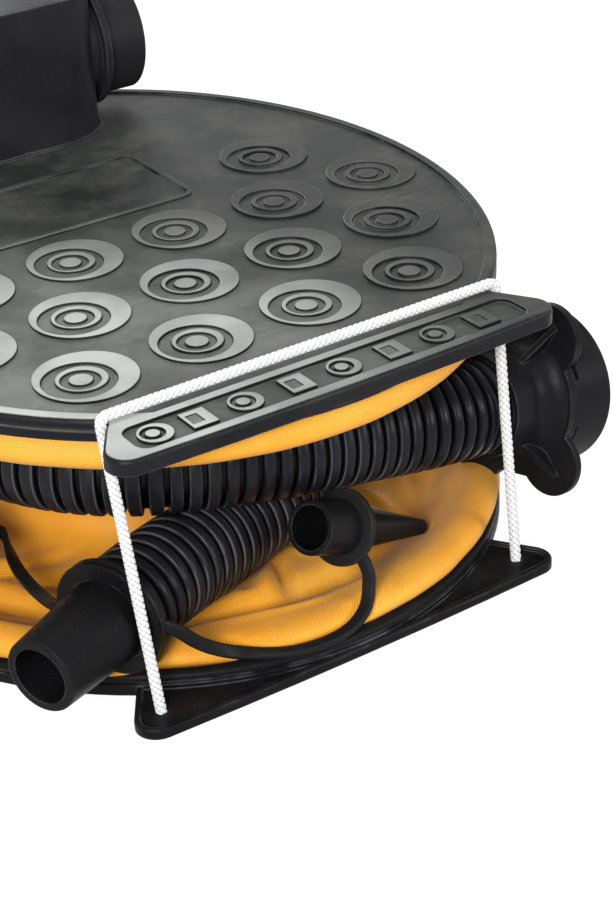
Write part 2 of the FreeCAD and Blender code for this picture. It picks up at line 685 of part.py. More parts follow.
def tread_recess():
    """Shallow floor of the tread, inside a raised rim; it stops short of the bar's frame."""
    recess = slab(RIM_WIDTH, -RIM_HEIGHT, 1)
    bar_strip = box(-WIDE, WIDE, -WIDE, FRONT_Y + BAR_FRAME_DEPTH, -WIDE, WIDE)
    pad = housing_outline(-HOUSING_PAD, -WIDE, WIDE)
    return recess.cut(bar_strip).cut(pad)


def bar_well():
    """The long well inside the front bar's raised frame."""
    half = BAR_FRAME_HALF - BAR_FRAME_WIDTH
    low = FRONT_Y + BAR_FRAME_WIDTH
    high = FRONT_Y + BAR_FRAME_DEPTH - BAR_FRAME_WIDTH
    well = box(-half, half, low, high, -BAR_WELL_DEPTH, 1)
    upright = [edge for edge in well.Edges if abs(edge.tangentAt(edge.FirstParameter).z) > 0.9]
    return well.makeFillet(min(5.0, (high - low) * 0.4), upright)


def pedal_arms():
    arms = []
    top = pedal_point(0, HINGE_Y, -PEDAL_THICKNESS / 2).z
    for side in (-1, 1):
        outer = LUG_INNER_X - ARM_GAP
        x_low = outer - ARM_THICKNESS if side > 0 else -outer
        eye = cylinder(LUG_RADIUS, ARM_THICKNESS, Vector(x_low, HINGE_Y, HINGE_Z), RIGHT)
        stem = box(x_low, x_low + ARM_THICKNESS, HINGE_Y - LUG_RADIUS, HINGE_Y + LUG_RADIUS,
                   HINGE_Z, top)
        arms += [eye, stem]
    return arms


def arm_bore():
    at = Vector(-WIDE / 2, HINGE_Y, HINGE_Z)
    return cylinder(PIN_RADIUS + PIN_CLEARANCE, WIDE, at, RIGHT)


def pin_half_length():
    return LUG_INNER_X + LUG_THICKNESS + CLIP_GAP + CLIP_THICKNESS + PIN_END


def hinge_pin():
    half = pin_half_length()
    return cylinder(PIN_RADIUS, 2 * half, Vector(-half, HINGE_Y, HINGE_Z), RIGHT)


def hinge_clips():
    clips = []
    for side in (-1, 1):
        inner = LUG_INNER_X + LUG_THICKNESS + CLIP_GAP
        x_low = inner if side > 0 else -inner - CLIP_THICKNESS
        at = Vector(x_low, HINGE_Y, HINGE_Z)
        disc = cylinder(CLIP_RADIUS, CLIP_THICKNESS, at, RIGHT)
        clips.append(disc.cut(cylinder(PIN_RADIUS, CLIP_THICKNESS, at, RIGHT)))
    return Part.makeCompound(clips)


# ---------------------------------------------------------------- valve housing
def housing_outline(inset, z_low, z_high):
    half = HOUSING_HALF_X - inset
    block = box(-half, half, HOUSING_FRONT + inset, HOUSING_BACK - inset, z_low, z_high)
    upright = [edge for edge in block.Edges if abs(edge.tangentAt(edge.FirstParameter).z) > 0.9]
    front = [edge for edge in upright if edge.CenterOfMass.y < PORT_Y]
    back = [edge for edge in upright if edge.CenterOfMass.y > PORT_Y]
    block = block.makeFillet(HOUSING_CORNER - inset, front)
    back = [edge for edge in block.Edges
            if any(edge.CenterOfMass.distanceToPoint(old.CenterOfMass) < 0.01 for old in back)]
    return block.makeFillet(HOUSING_CORNER / 2 - inset, back)


def housing_screw_places():
    return [(side * SCREW_X, y) for side in (-1, 1)
            for y in (HOUSING_FRONT + SCREW_FRONT_INSET, HOUSING_BACK - SCREW_BACK_INSET)]


def valve_housing():
    cover_seat = HOUSING_HEIGHT - COVER_THICKNESS
    shell = housing_outline(0, 0, HOUSING_HEIGHT)
    shell = shell.cut(housing_outline(HOUSING_WALL, HOUSING_WALL, HOUSING_HEIGHT + 1))
    shell = shell.cut(housing_outline(HOUSING_WALL / 2, cover_seat, HOUSING_HEIGHT + 1))
    posts = [cylinder(POST_RADIUS, cover_seat - HOUSING_WALL / 2, Vector(x, y, HOUSING_WALL / 2))
             for x, y in housing_screw_places()]
    shell = fuse([shell] + posts)
    shell = shell.cut(cylinder(AIR_HOLE_RADIUS, 10, Vector(0, PORT_Y, -1)))
    for x, y in housing_screw_places():
        pilot = SCREW_RADIUS + PILOT_CLEARANCE
        shell = shell.cut(cylinder(pilot, SCREW_LENGTH, Vector(x, y, -0.5)))
        pilot_at = Vector(x, y, cover_seat - SCREW_LENGTH)
        shell = shell.cut(cylinder(pilot, SCREW_LENGTH + 1, pilot_at))
    for side in (-1, 1):
        at = Vector(side * (HOUSING_HALF_X - PORT_SPIGOT), PORT_Y, PORT_LEVEL)
        hole = cylinder(PORT_RADIUS + PORT_CLEARANCE, WIDE, at, RIGHT * side)
        shell = shell.cut(hole)
    return on_pedal(shell)


def valve_cover():
    low = HOUSING_HEIGHT - COVER_THICKNESS
    cover = housing_outline(HOUSING_WALL / 2 + COVER_CLEARANCE, low, HOUSING_HEIGHT)
    for x, y in housing_screw_places():
        cover = cover.cut(cylinder(SCREW_RADIUS + SCREW_CLEARANCE, 10, Vector(x, y, low - 1)))
    return on_pedal(cover)


def screw():
    """Head on z = 0, shank below it."""
    head = cylinder(SCREW_HEAD_RADIUS, SCREW_HEAD_HEIGHT, Vector(0, 0, 0))
    shank = cylinder(SCREW_RADIUS, SCREW_LENGTH - 1, Vector(0, 0, 1 - SCREW_LENGTH))
    reach = SCREW_CROSS_HALF
    half = SCREW_CROSS_WIDTH / 2
    low = SCREW_HEAD_HEIGHT - SCREW_CROSS_DEPTH
    high = SCREW_HEAD_HEIGHT + 1
    cross = box(-reach, reach, -half, half, low, high)
    cross = cross.fuse(box(-half, half, -reach, reach, low, high))
    return head.fuse(shank).cut(cross)


def cover_screws():
    screws = []
    for x, y in housing_screw_places():
        one = screw()
        one.translate(Vector(x, y, HOUSING_HEIGHT))
        screws.append(on_pedal(one))
    return Part.makeCompound(screws)


def housing_screws():
    screws = []
    for x, y in housing_screw_places():
        one = screw().mirror(Vector(0, 0, 0), UP)
        one.translate(Vector(x, y, -PEDAL_SKIN))
        screws.append(on_pedal(one))
    return Part.makeCompound(screws)


# ---------------------------------------------------------------- ports and valves
def port():
    """The right-hand port along +X, its flange seated on the housing's side at x = 0."""
    inner = -PORT_SPIGOT
    outer = PORT_FLANGE_THICKNESS + PORT_REACH
    profile = [
        (inner, PORT_BORE), (inner, PORT_RADIUS), (0, PORT_RADIUS), (0, PORT_FLANGE_RADIUS),
        (PORT_FLANGE_THICKNESS, PORT_FLANGE_RADIUS), (PORT_FLANGE_THICKNESS, PORT_RADIUS),
        (outer, PORT_RADIUS), (outer, PORT_BORE), (PORT_WEB, PORT_BORE),
        (PORT_WEB, SEAT_HOLE), (0, SEAT_HOLE), (0, PORT_BORE)]
    body = turned(profile, Vector(0, 0, 0), RIGHT)
    half = KEY_WIDTH / 2
    far = PORT_FLANGE_RADIUS - KEY_EDGE
    near = far - KEY_THICKNESS
    reach = PORT_FLANGE_THICKNESS + KEY_REACH
    keys = [box(PORT_FLANGE_THICKNESS - 1, reach, -half, half, near, far),
            box(PORT_FLANGE_THICKNESS - 1, reach, -half, half, -far, -near)]
    return body.multiFuse(keys)


def flap():
    """A rubber disc whose seat face is x = 0 and which opens along +X."""
    return cylinder(FLAP_RADIUS, FLAP_THICKNESS, Vector(FLAP_GAP, 0, 0), RIGHT)


def cage():
    """A spider that stops the flap; its inner face stands clear of the lifted flap."""
    low = FLAP_GAP + FLAP_THICKNESS + FLAP_LIFT + FLAP_GAP
    outer = PORT_BORE - CAGE_CLEARANCE
    ring = cylinder(outer, CAGE_THICKNESS, Vector(low, 0, 0), RIGHT)
    ring = ring.cut(cylinder(outer - CAGE_RIM, CAGE_THICKNESS, Vector(low, 0, 0), RIGHT))
    pieces = [ring, cylinder(CAGE_HUB, CAGE_THICKNESS, Vector(low, 0, 0), RIGHT)]
    reach = outer - CAGE_RIM / 2
    half = CAGE_SPOKE / 2
    pieces.append(box(low, low + CAGE_THICKNESS, -reach, reach, -half, half))
    pieces.append(box(low, low + CAGE_THICKNESS, -half, half, -reach, reach))
    return fuse(pieces)


def at_port(shape, side):
    """Moves a piece of the right-hand port to its place, or mirrored to the left side."""
    moved = shape.copy()
    moved.translate(Vector(HOUSING_HALF_X, PORT_Y, PORT_LEVEL))
    if side < 0:
        moved = moved.mirror(Vector(0, 0, 0), RIGHT)
    return on_pedal(moved)


def opening_outwards(shape):
    moved = shape.copy()
    moved.translate(Vector(PORT_WEB, 0, 0))
    return moved


def opening_inwards(shape):
    return shape.mirror(Vector(0, 0, 0), RIGHT)


# ---------------------------------------------------------------- hose and its ends
def nozzle_axis():
    axis = NOZZLE_FLANGE - Vector(*NOZZLE_MOUTH_TOWARDS)
    axis.normalize()
    return axis


def connector_turn():
    """Turns an upright frame, z along the hose and x up, into the connector's attitude."""
    level = Rotation(Vector(0, 0, 1), CONNECTOR_HEADING) * Rotation(Vector(0, 1, 0), 90)
    dip = Rotation(Vector(0, 1, 0), CONNECTOR_DIP)
    roll = Rotation(Vector(0, 0, 1), CONNECTOR_ROLL)
    return level * dip * roll


def connector_axis():
    return connector_turn().multVec(UP)


def connector_neck_at():
    return CONNECTOR_FLANGE - connector_axis() * (NECK_LENGTH + FUNNEL_LENGTH)


def from_front(route, x_from=0.0):
    return [Vector(x_from + x, FRONT_Y + depth, z) for x, depth, z in route]


def hose():
    axis = nozzle_axis()
    start = NOZZLE_FLANGE + axis * (NOZZLE_FLANGE_THICKNESS / 2 + TETHER_RING_THICKNESS)
    neck = connector_neck_at()
    points = [start, NOZZLE_FLANGE + axis * NOZZLE_STRAIGHT]
    points += from_front(HOSE_LOW_RUN)
    points += [Vector(*point) for point in HOSE_ROUND_BACK]
    points += from_front(HOSE_HIGH_RUN)
    points.append(neck - connector_axis() * CONNECTOR_STRAIGHT)
    points.append(neck + connector_axis() * (NECK_LENGTH - NECK_CLEARANCE))
    return tube(points, HOSE_RADIUS, bore=HOSE_RADIUS - HOSE_WALL)


def nozzle():
    half = NOZZLE_FLANGE_THICKNESS / 2
    spigot = HOSE_RADIUS - HOSE_WALL - SPIGOT_CLEARANCE
    profile = [
        (-NOZZLE_LENGTH, NOZZLE_BORE),
        *rounded_corner(-NOZZLE_LENGTH, NOZZLE_TIP_RADIUS, NOZZLE_ROUNDING, -1),
        (-half, NOZZLE_ROOT_RADIUS),
        *rounded_corner(-half, NOZZLE_FLANGE_RADIUS, NOZZLE_ROUNDING, -1),
        (half, NOZZLE_FLANGE_RADIUS), (half, spigot),
        (NOZZLE_SPIGOT_LENGTH, spigot), (NOZZLE_SPIGOT_LENGTH, NOZZLE_BORE)]
    return turned(profile, NOZZLE_FLANGE, nozzle_axis())


def hose_connector():
    """Neck over the hose, funnel, lobed flange, and the bayonet collar."""
    neck_inner = HOSE_RADIUS + NECK_CLEARANCE
    neck_outer = neck_inner + NECK_WALL
    air = HOSE_RADIUS - HOSE_WALL
    flange_at = NECK_LENGTH + FUNNEL_LENGTH
    collar_at = flange_at + FLANGE_THICKNESS
    mouth = collar_at + COLLAR_LENGTH
    collar_bore = PORT_RADIUS + COLLAR_CLEARANCE
    collar_outer = collar_bore + COLLAR_WALL
    root = FLANGE_RADIUS - NECK_WALL
    hollow = (flange_at - FUNNEL_LENGTH * 0.29, neck_outer + (root - neck_outer) * 0.29)
    profile = [
        (0, neck_inner), (0, neck_outer), (NECK_LENGTH, neck_outer),
        (flange_at, root) + hollow, (flange_at, FLANGE_RADIUS),
        (collar_at, FLANGE_RADIUS), (collar_at, collar_outer),
        (mouth, collar_outer + COLLAR_FLARE), (mouth, air), (NECK_LENGTH, air),
        (NECK_LENGTH, neck_inner)]
    body = turned(profile, Vector(0, 0, 0), UP)
    body = fuse([body] + connector_lobes(flange_at))
    body = body.cut(cylinder(neck_inner, NECK_LENGTH + 1, Vector(0, 0, -1)))
    body = body.cut(cylinder(air, WIDE, Vector(0, 0, -1)))
    pocket = PORT_RADIUS - SEAL_INSET + SEAL_CLEARANCE
    body = body.cut(cylinder(pocket, WIDE, Vector(0, 0, flange_at)))
    body = body.cut(cylinder(collar_bore, WIDE, Vector(0, 0, flange_at + SEAL_THICKNESS)))
    half = KEYWAY_WIDTH / 2
    keyway = box(-half, half, -WIDE, WIDE, mouth - KEYWAY_LENGTH, mouth + 1)
    key_rim = PORT_FLANGE_RADIUS - KEY_EDGE + KEYWAY_CLEARANCE
    keyway = keyway.common(cylinder(key_rim, WIDE, Vector(0, 0, 0)))
    return place_on_connector(body.cut([keyway] + collar_vents(collar_at + VENT_AT)))


def collar_vents(vent_at):
    """Narrow slits through the collar just behind the flange, two on each side."""
    vents = []
    for middle in (90, 270):
        for turn in (-VENT_ANGLE, VENT_ANGLE):
            vent = box(PORT_RADIUS, FLANGE_RADIUS + COLLAR_WALL, -VENT_LENGTH / 2,
                       VENT_LENGTH / 2, vent_at, vent_at + VENT_WIDTH)
            vent.rotate(Vector(0, 0, 0), UP, middle + turn)
            vents.append(vent)
    return vents


def connector_lobes(flange_at):
    """Four finger lobes on the flange, each with a gusset on the hose side."""
    lobes = []
    angle = math.radians(LOBE_ANGLE)
    for vertical in (-1, 1):
        x = vertical * LOBE_DISTANCE * math.cos(angle)
        for side in (-1, 1):
            y = side * LOBE_DISTANCE * math.sin(angle)
            lobes.append(cylinder(LOBE_RADIUS, FLANGE_THICKNESS, Vector(x, y, flange_at)))
            gusset = box(0, LOBE_DISTANCE + LOBE_RADIUS / 2, -GUSSET_THICKNESS / 2,
                         GUSSET_THICKNESS / 2, flange_at - FUNNEL_LENGTH, flange_at + 1)
            slope = box(0, WIDE, -WIDE, WIDE, -WIDE, 0)
            slope.rotate(Vector(0, 0, 0), Vector(0, 1, 0), -math.degrees(math.atan2(
                FUNNEL_LENGTH, LOBE_DISTANCE + LOBE_RADIUS / 2 - HOSE_RADIUS)))
            slope.translate(Vector(HOSE_RADIUS, 0, flange_at - FUNNEL_LENGTH))
            gusset = gusset.cut(slope)
            gusset.rotate(Vector(0, 0, 0), UP, math.degrees(math.atan2(y, x)))
            lobes.append(gusset)
        x_low, x_high = sorted((0.0, x + vertical * LOBE_RADIUS * 0.6))
        half = LOBE_DISTANCE * math.sin(angle)
        lobes.append(box(x_low, x_high, -half, half, flange_at, flange_at + FLANGE_THICKNESS))
    return lobes


def place_on_connector(shape):
    """From an upright frame, z along the hose and x up, to the connector's place."""
    return shape.transformed(Placement(connector_neck_at(), connector_turn()).toMatrix())


def connector_seal():
    seat = NECK_LENGTH + FUNNEL_LENGTH
    outer = PORT_RADIUS - SEAL_INSET
    profile = [(seat, outer - SEAL_WIDTH), (seat, outer), (seat + SEAL_THICKNESS, outer),
               (seat + SEAL_THICKNESS, outer - SEAL_WIDTH)]
    return place_on_connector(turned(profile, Vector(0, 0, 0), UP))


# ---------------------------------------------------------------- adapters and tethers
def adapter(length, mouth, bore, tip, tip_bore, ring_at, at, towards):
    """A stepped adapter; the tether's ring sits in a groove behind its mouth."""
    at = Vector(*at)
    axis = (Vector(*towards) - at).normalize()
    groove_end = ring_at + TETHER_RING_THICKNESS + RING_SLACK
    shoulder = groove_end + ADAPTER_CUFF
    cuff = mouth - ADAPTER_CUFF_DROP
    profile = [
        (0, bore), *rounded_corner(0, mouth, ADAPTER_ROUNDING, -1),
        (ring_at, mouth), (ring_at, mouth - RING_GROOVE),
        (groove_end, mouth - RING_GROOVE), (groove_end, cuff), (shoulder, cuff),
        (shoulder + 1, mouth - ADAPTER_STEP),
        *rounded_corner(length, tip, ADAPTER_ROUNDING, 1), (length, tip_bore),
        (shoulder + 2, bore - ADAPTER_STEP), (shoulder - 2, bore)]
    return turned(profile, at, axis)


def rim_direction(axis, angle):
    """Across an axis: 0 degrees is up, 90 degrees is towards the front."""
    side = UP.cross(axis).normalize()
    up = axis.cross(side)
    turn = math.radians(angle)
    return up * math.cos(turn) - side * math.sin(turn)


def nozzle_collar():
    """The tether's own collar, between the nozzle's flange and the end of the hose."""
    low = NOZZLE_FLANGE_THICKNESS / 2
    inner = HOSE_RADIUS - HOSE_WALL - SPIGOT_CLEARANCE + STRAP_CLEARANCE
    high = low + TETHER_RING_THICKNESS
    profile = [(low, inner), (low, NOZZLE_FLANGE_RADIUS), (high, NOZZLE_FLANGE_RADIUS),
               (high, inner)]
    return turned(profile, NOZZLE_FLANGE, nozzle_axis())


def tether_arm(route, x_from, collar_angle, ring_angle, end_side, mouth, ring_at, at, towards):
    """A strap from the nozzle's collar to the ring round one adapter.

    end_side is 1 or -1: which way along the adapter the strap's upper face ends up.
    """
    collar_out = rim_direction(nozzle_axis(), collar_angle)
    collar_middle = (NOZZLE_FLANGE_THICKNESS + TETHER_RING_THICKNESS) / 2
    start = NOZZLE_FLANGE + nozzle_axis() * collar_middle
    start += collar_out * (NOZZLE_FLANGE_RADIUS - STRAP_THICKNESS)
    at = Vector(*at)
    axis = (Vector(*towards) - at).normalize()
    low = ring_at + RING_SLACK / 2
    inner = mouth - RING_GROOVE + STRAP_CLEARANCE
    outer = inner + RING_WIDTH
    high = low + TETHER_RING_THICKNESS
    ring = turned([(low, inner), (low, outer), (high, outer), (high, inner)], at, axis)
    out = rim_direction(axis, ring_angle)
    end = at + axis * (low + high) / 2 + out * (inner + STRAP_THICKNESS)
    points = [start, start + collar_out * STRAP_WIDTH * COLLAR_LEAD]
    points += from_front(route, x_from)
    points += [end + out * STRAP_WIDTH * RING_LEAD, end]
    return ring.fuse(strap(points, nozzle_axis() * -1, axis * end_side))


def tether_straps():
    right = tether_arm(RIGHT_TETHER_ROUTE, 0.0, RIGHT_COLLAR_ANGLE, RIGHT_RING_ANGLE, -1,
                       RIGHT_MOUTH_RADIUS, RIGHT_RING_AT, RIGHT_MOUTH_AT, RIGHT_TIP_TOWARDS)
    left = tether_arm(LEFT_TETHER_ROUTE, -PLATE_HALF_X, LEFT_COLLAR_ANGLE, LEFT_RING_ANGLE, 1,
                      LEFT_MOUTH_RADIUS, LEFT_RING_AT, LEFT_MOUTH_AT, LEFT_TIP_TOWARDS)
    return nozzle_collar().multiFuse([right, left])


# ---------------------------------------------------------------- closure cord
def cord_leg(side):
    """From the top of the stop under the base to the corner above the pedal's edge."""
    low = BASE_UNDERSIDE + STOP_THICKNESS + CORD_STOP_GAP
    hole = Vector(side * CORD_HOLE_X, FRONT_Y + CORD_HOLE_DEPTH, low)
    over = CORD_DIAMETER / 2 + CORD_OVER_PEDAL
    return hole, pedal_point(side * NOTCH_X, FRONT_Y + NOTCH_DEPTH, over)


def closure_cord():
    def edge_radius(index, run_back, run_ahead, half_turn):
        return CORD_EDGE_RADIUS

    left_hole, left_corner = cord_leg(-1)
    right_hole, right_corner = cord_leg(1)
    points = [left_hole, left_corner, right_corner, right_hole]
    return tube(points, CORD_DIAMETER / 2, edge_radius)


def cord_stops():
    stops = []
    for side in (-1, 1):
        at = Vector(side * CORD_HOLE_X, FRONT_Y + CORD_HOLE_DEPTH, BASE_UNDERSIDE)
        stops.append(cylinder(STOP_DIAMETER / 2, STOP_THICKNESS, at))
    return Part.makeCompound(stops)


# ---------------------------------------------------------------- export
PIECES = {
    "base_plate": base_plate,
    "rubber_feet": rubber_feet,
    "base_bellows_ring": base_bellows_ring,
    "lower_bellows": lower_bellows,
    "waist_hoop": waist_hoop,
    "upper_bellows": upper_bellows,
    "pedal_bellows_ring": pedal_bellows_ring,
    "base_spring_seat": base_spring_seat,
    "pedal_spring_seat": pedal_spring_seat,
    "return_spring": return_spring,
    "pedal_plate": pedal_plate,
    "hinge_pin": hinge_pin,
    "hinge_clips": hinge_clips,
    "valve_housing": valve_housing,
    "valve_cover": valve_cover,
    "cover_screws": cover_screws,
    "housing_screws": housing_screws,
    "inflate_port": lambda: at_port(port(), 1),
    "deflate_port": lambda: at_port(port(), -1),
    "inflate_flap": lambda: at_port(opening_outwards(flap()), 1),
    "deflate_flap": lambda: at_port(opening_inwards(flap()), -1),
    "inflate_cage": lambda: at_port(opening_outwards(cage()), 1),
    "deflate_cage": lambda: at_port(opening_inwards(cage()), -1),
    "hose": hose,
    "hose_connector": hose_connector,
    "connector_seal": connector_seal,
    "nozzle": nozzle,
    "tether_straps": tether_straps,
    "right_adapter": lambda: adapter(
        RIGHT_LENGTH, RIGHT_MOUTH_RADIUS, RIGHT_BORE, RIGHT_TIP_RADIUS, RIGHT_TIP_BORE,
        RIGHT_RING_AT, RIGHT_MOUTH_AT, RIGHT_TIP_TOWARDS),
    "left_adapter": lambda: adapter(
        LEFT_LENGTH, LEFT_MOUTH_RADIUS, LEFT_BORE, LEFT_TIP_RADIUS, LEFT_TIP_BORE,
        LEFT_RING_AT, LEFT_MOUTH_AT, LEFT_TIP_TOWARDS),
    "closure_cord": closure_cord,
    "cord_stops": cord_stops,
}

for name, make in PIECES.items():
    export(name, make())
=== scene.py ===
import json
import math

import bmesh
import bpy
import numpy as np
from mathutils import Matrix, Vector

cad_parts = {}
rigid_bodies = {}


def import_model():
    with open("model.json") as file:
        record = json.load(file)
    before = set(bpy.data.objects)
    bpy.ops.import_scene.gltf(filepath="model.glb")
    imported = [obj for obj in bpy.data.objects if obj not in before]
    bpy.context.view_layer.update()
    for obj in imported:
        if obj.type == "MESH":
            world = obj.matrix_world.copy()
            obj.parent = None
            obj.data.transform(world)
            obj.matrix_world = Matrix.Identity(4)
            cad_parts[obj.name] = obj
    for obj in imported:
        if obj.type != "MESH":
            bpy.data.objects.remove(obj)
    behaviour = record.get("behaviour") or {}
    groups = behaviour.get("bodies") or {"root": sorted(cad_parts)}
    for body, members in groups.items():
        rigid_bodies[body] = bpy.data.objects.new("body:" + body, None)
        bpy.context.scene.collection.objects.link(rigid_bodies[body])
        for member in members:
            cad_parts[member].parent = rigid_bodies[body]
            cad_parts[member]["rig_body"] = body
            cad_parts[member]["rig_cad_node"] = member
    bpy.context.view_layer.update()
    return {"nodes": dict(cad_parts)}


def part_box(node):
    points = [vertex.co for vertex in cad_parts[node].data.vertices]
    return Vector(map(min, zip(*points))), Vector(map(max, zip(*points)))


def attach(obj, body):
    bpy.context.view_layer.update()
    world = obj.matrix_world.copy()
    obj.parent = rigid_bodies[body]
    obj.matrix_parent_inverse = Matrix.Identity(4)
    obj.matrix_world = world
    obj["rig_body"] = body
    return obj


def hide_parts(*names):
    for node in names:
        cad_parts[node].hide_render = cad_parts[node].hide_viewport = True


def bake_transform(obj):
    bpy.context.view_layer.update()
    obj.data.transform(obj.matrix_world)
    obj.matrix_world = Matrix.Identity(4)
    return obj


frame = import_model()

MM = 0.001

# ------------------------------------------------------------ places taken from the CAD
BASE_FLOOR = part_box("lower_bellows")[0].z - 1.4 * MM
HEM_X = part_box("lower_bellows")[1].x
HEM_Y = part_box("lower_bellows")[1].y
OVAL = HEM_Y / HEM_X
FRONT_EDGE = -160.6 * MM            # straight front edge of both bars
PEDAL_TOP = 107.0 * MM              # pedal's top face at that edge
PEDAL_TILT = math.radians(2.07)
PEDAL_SKIN = 2.6 * MM
TREAD_DEPTH = 1.0 * MM              # tread floor, below the pedal's rim
BAR_WELL_DEPTH = 1.4 * MM
BAR_FRAME = (3.4 * MM, 19.6 * MM)   # bar's well, behind the front edge

# The hose's route: out of the nozzle, once and a third round the waist, into the connector.
HOSE_RADIUS = 18.5 * MM
HOSE_ROUTE = [
    (-0.0784, -0.1247, 0.0310), (-0.0547, -0.1140, 0.0313), (-0.0201, -0.0983, 0.0266),
    (0.0120, -0.0840, 0.0266), (0.0500, -0.0620, 0.0290), (0.0720, -0.0280, 0.0330),
    (0.0780, 0.0120, 0.0380), (0.0680, 0.0520, 0.0430), (0.0400, 0.0820, 0.0480),
    (0.0000, 0.0920, 0.0525), (-0.0400, 0.0820, 0.0570), (-0.0700, 0.0520, 0.0605),
    (-0.0840, 0.0140, 0.0630), (-0.0860, -0.0280, 0.0650), (-0.0760, -0.0660, 0.0660),
    (-0.0550, -0.0925, 0.0660), (-0.0290, -0.1048, 0.0650), (-0.0046, -0.1123, 0.0630),
    (0.0300, -0.1178, 0.0605), (0.0666, -0.1226, 0.0568), (0.0919, -0.1181, 0.0532)]
RIB_PITCH_AT = (0.0, 0.52, 0.60, 0.70)          # metres along the hose
RIB_PITCH = (5.8 * MM, 6.2 * MM, 6.2 * MM, 5.1 * MM)
RIB_DEPTH = 2.7 * MM
HOSE_AROUND = 44                    # points round each ring
RIB_SECTION = [                 # share of one rib from its groove's middle, share of its depth
    (0.00, 0.00), (0.12, 0.03), (0.165, 0.60), (0.20, 0.90), (0.26, 1.00), (0.50, 0.985),
    (0.74, 1.00), (0.80, 0.90), (0.835, 0.60), (0.88, 0.03)]

# The closure cord, from the left hole up over the pedal and down to the right hole. Each
# corner over the pedal's edge has a point 7 mm and one 24 mm to either side of it.
CORD_DIAMETER = 4.0 * MM
CORD_HOLE = (77.3 * MM, -148.7 * MM, 2.6 * MM)
CORD_CORNER = (80.7 * MM, -134.1 * MM, 110.3 * MM)
CORD_POINTS_FROM_CORNER = (24 * MM, 7 * MM)

NOZZLE_FLANGE = Vector((-82.0, -126.4, 31.0)) * MM
NOZZLE_AXIS = Vector((0.91085, 0.41261, 0.01038))
NOZZLE_FLANGE_RADIUS = 21.5 * MM
STRAP_WIDTH = 4.8 * MM
STRAP_THICKNESS = 2.4 * MM
RIGHT_ADAPTER = (Vector((-7.8, -140.2, 45.0)) * MM, Vector((0.861378, 0.258142, -0.437482)))
LEFT_ADAPTER = (Vector((-95.0, -42.0, 24.0)) * MM, Vector((0.170367, 0.979611, -0.106479)))

# The straps' routes from the nozzle's collar to the adapters' rings, in millimetres.
RIGHT_TETHER = [
    (-59.5, -148.5, 22), (-45.5, -149.5, 13.2), (-28, -158.4, 10.9), (-9, -160, 10.9),
    (4, -155.4, 13.5), (8.8, -151, 20)]
LEFT_TETHER = [(-87.5, -91, 22.5), (-86, -73, 20), (-83, -55, 19), (-78, -40, 19.5)]


def tilted(y, z):
    """From the pedal's own flat frame, z = 0 at its top face, to its tilted place."""
    along = y - FRONT_EDGE
    return (FRONT_EDGE + along * math.cos(PEDAL_TILT) - z * math.sin(PEDAL_TILT),
            PEDAL_TOP + along * math.sin(PEDAL_TILT) + z * math.cos(PEDAL_TILT))


def pedal_point(x, y, z):
    return Vector((x, *tilted(y, z)))


def pedal_matrix(x, y, z):
    """Places a piece that was made at the origin, upright, on the pedal's tread."""
    return Matrix.Translation(pedal_point(x, y, z)) @ Matrix.Rotation(PEDAL_TILT, 4, "X")


# ------------------------------------------------------------ modelling helpers
MERGE_DISTANCE = 0.01 * MM


def take(piece):
    """Selects this piece alone and makes it the active one."""
    bpy.ops.object.select_all(action="DESELECT")
    piece.select_set(True)
    bpy.context.view_layer.objects.active = piece


def apply_modifiers(piece):
    take(piece)
    for modifier in list(piece.modifiers):
        bpy.ops.object.modifier_apply(modifier=modifier.name)


def placed_in_mesh():
    """Puts the new primitive's place and size in its mesh, with its object at the origin."""
    bpy.ops.object.transform_apply(location=True, rotation=False, scale=True)
    return bpy.context.active_object


def round_block(radius, height, vertices):
    """A short cylinder that stands at the origin."""
    bpy.ops.object.select_all(action="DESELECT")
    bpy.ops.mesh.primitive_cylinder_add(
        vertices=vertices, radius=radius, depth=height, location=(0, 0, height / 2))
    return placed_in_mesh()


def square_block(width, depth, height):
    """A low block that stands at the origin."""
    bpy.ops.object.select_all(action="DESELECT")
    bpy.ops.mesh.primitive_cube_add(
        size=1, location=(0, 0, height / 2), scale=(width, depth, height))
    return placed_in_mesh()


def edit_all(piece):
    """Goes into edit mode with everything selected."""
    take(piece)
    bpy.ops.object.mode_set(mode="EDIT")
    bpy.ops.mesh.select_all(action="SELECT")


def edit_top(piece):
    """Goes into edit mode with only the faces selected that look up."""
    take(piece)
    bpy.ops.object.mode_set(mode="EDIT")
    bpy.ops.mesh.select_mode(type="FACE")
    bpy.ops.mesh.select_all(action="DESELECT")
    mesh = bmesh.from_edit_mesh(piece.data)
    for face in mesh.faces:
        if face.normal.z > 0.9:
            face.select_set(True)
    bmesh.update_edit_mesh(piece.data)


def leave_edit():
    bpy.ops.object.mode_set(mode="OBJECT")


def step_top(block, height, steps):
    """Works a block's top in steps. Each draws the top in by its first number, moves it
    aside by the next two, all in millimetres, and sinks it by a share of the height, or
    raises it for a negative share."""
    edit_top(block)
    for inset, x, y, share in steps:
        bpy.ops.mesh.inset(thickness=inset * MM)
        bpy.ops.transform.translate(value=(x * MM, y * MM, 0))
        bpy.ops.mesh.extrude_region_move(
            TRANSFORM_OT_translate={"value": (0, 0, -height * share)})
    leave_edit()


def rounded_over(piece, width, segments):
    """Rounds the piece's sharp edges."""
    rounding = piece.modifiers.new("rounding", "BEVEL")
    rounding.width = width
    rounding.segments = segments
    rounding.limit_method = "ANGLE"
    apply_modifiers(piece)
    return piece


def smooth_by_angle(piece, degrees):
    take(piece)
    bpy.ops.object.shade_smooth_by_angle(angle=math.radians(degrees))


def smooth_all_over(piece):
    take(piece)
    bpy.ops.object.shade_smooth()


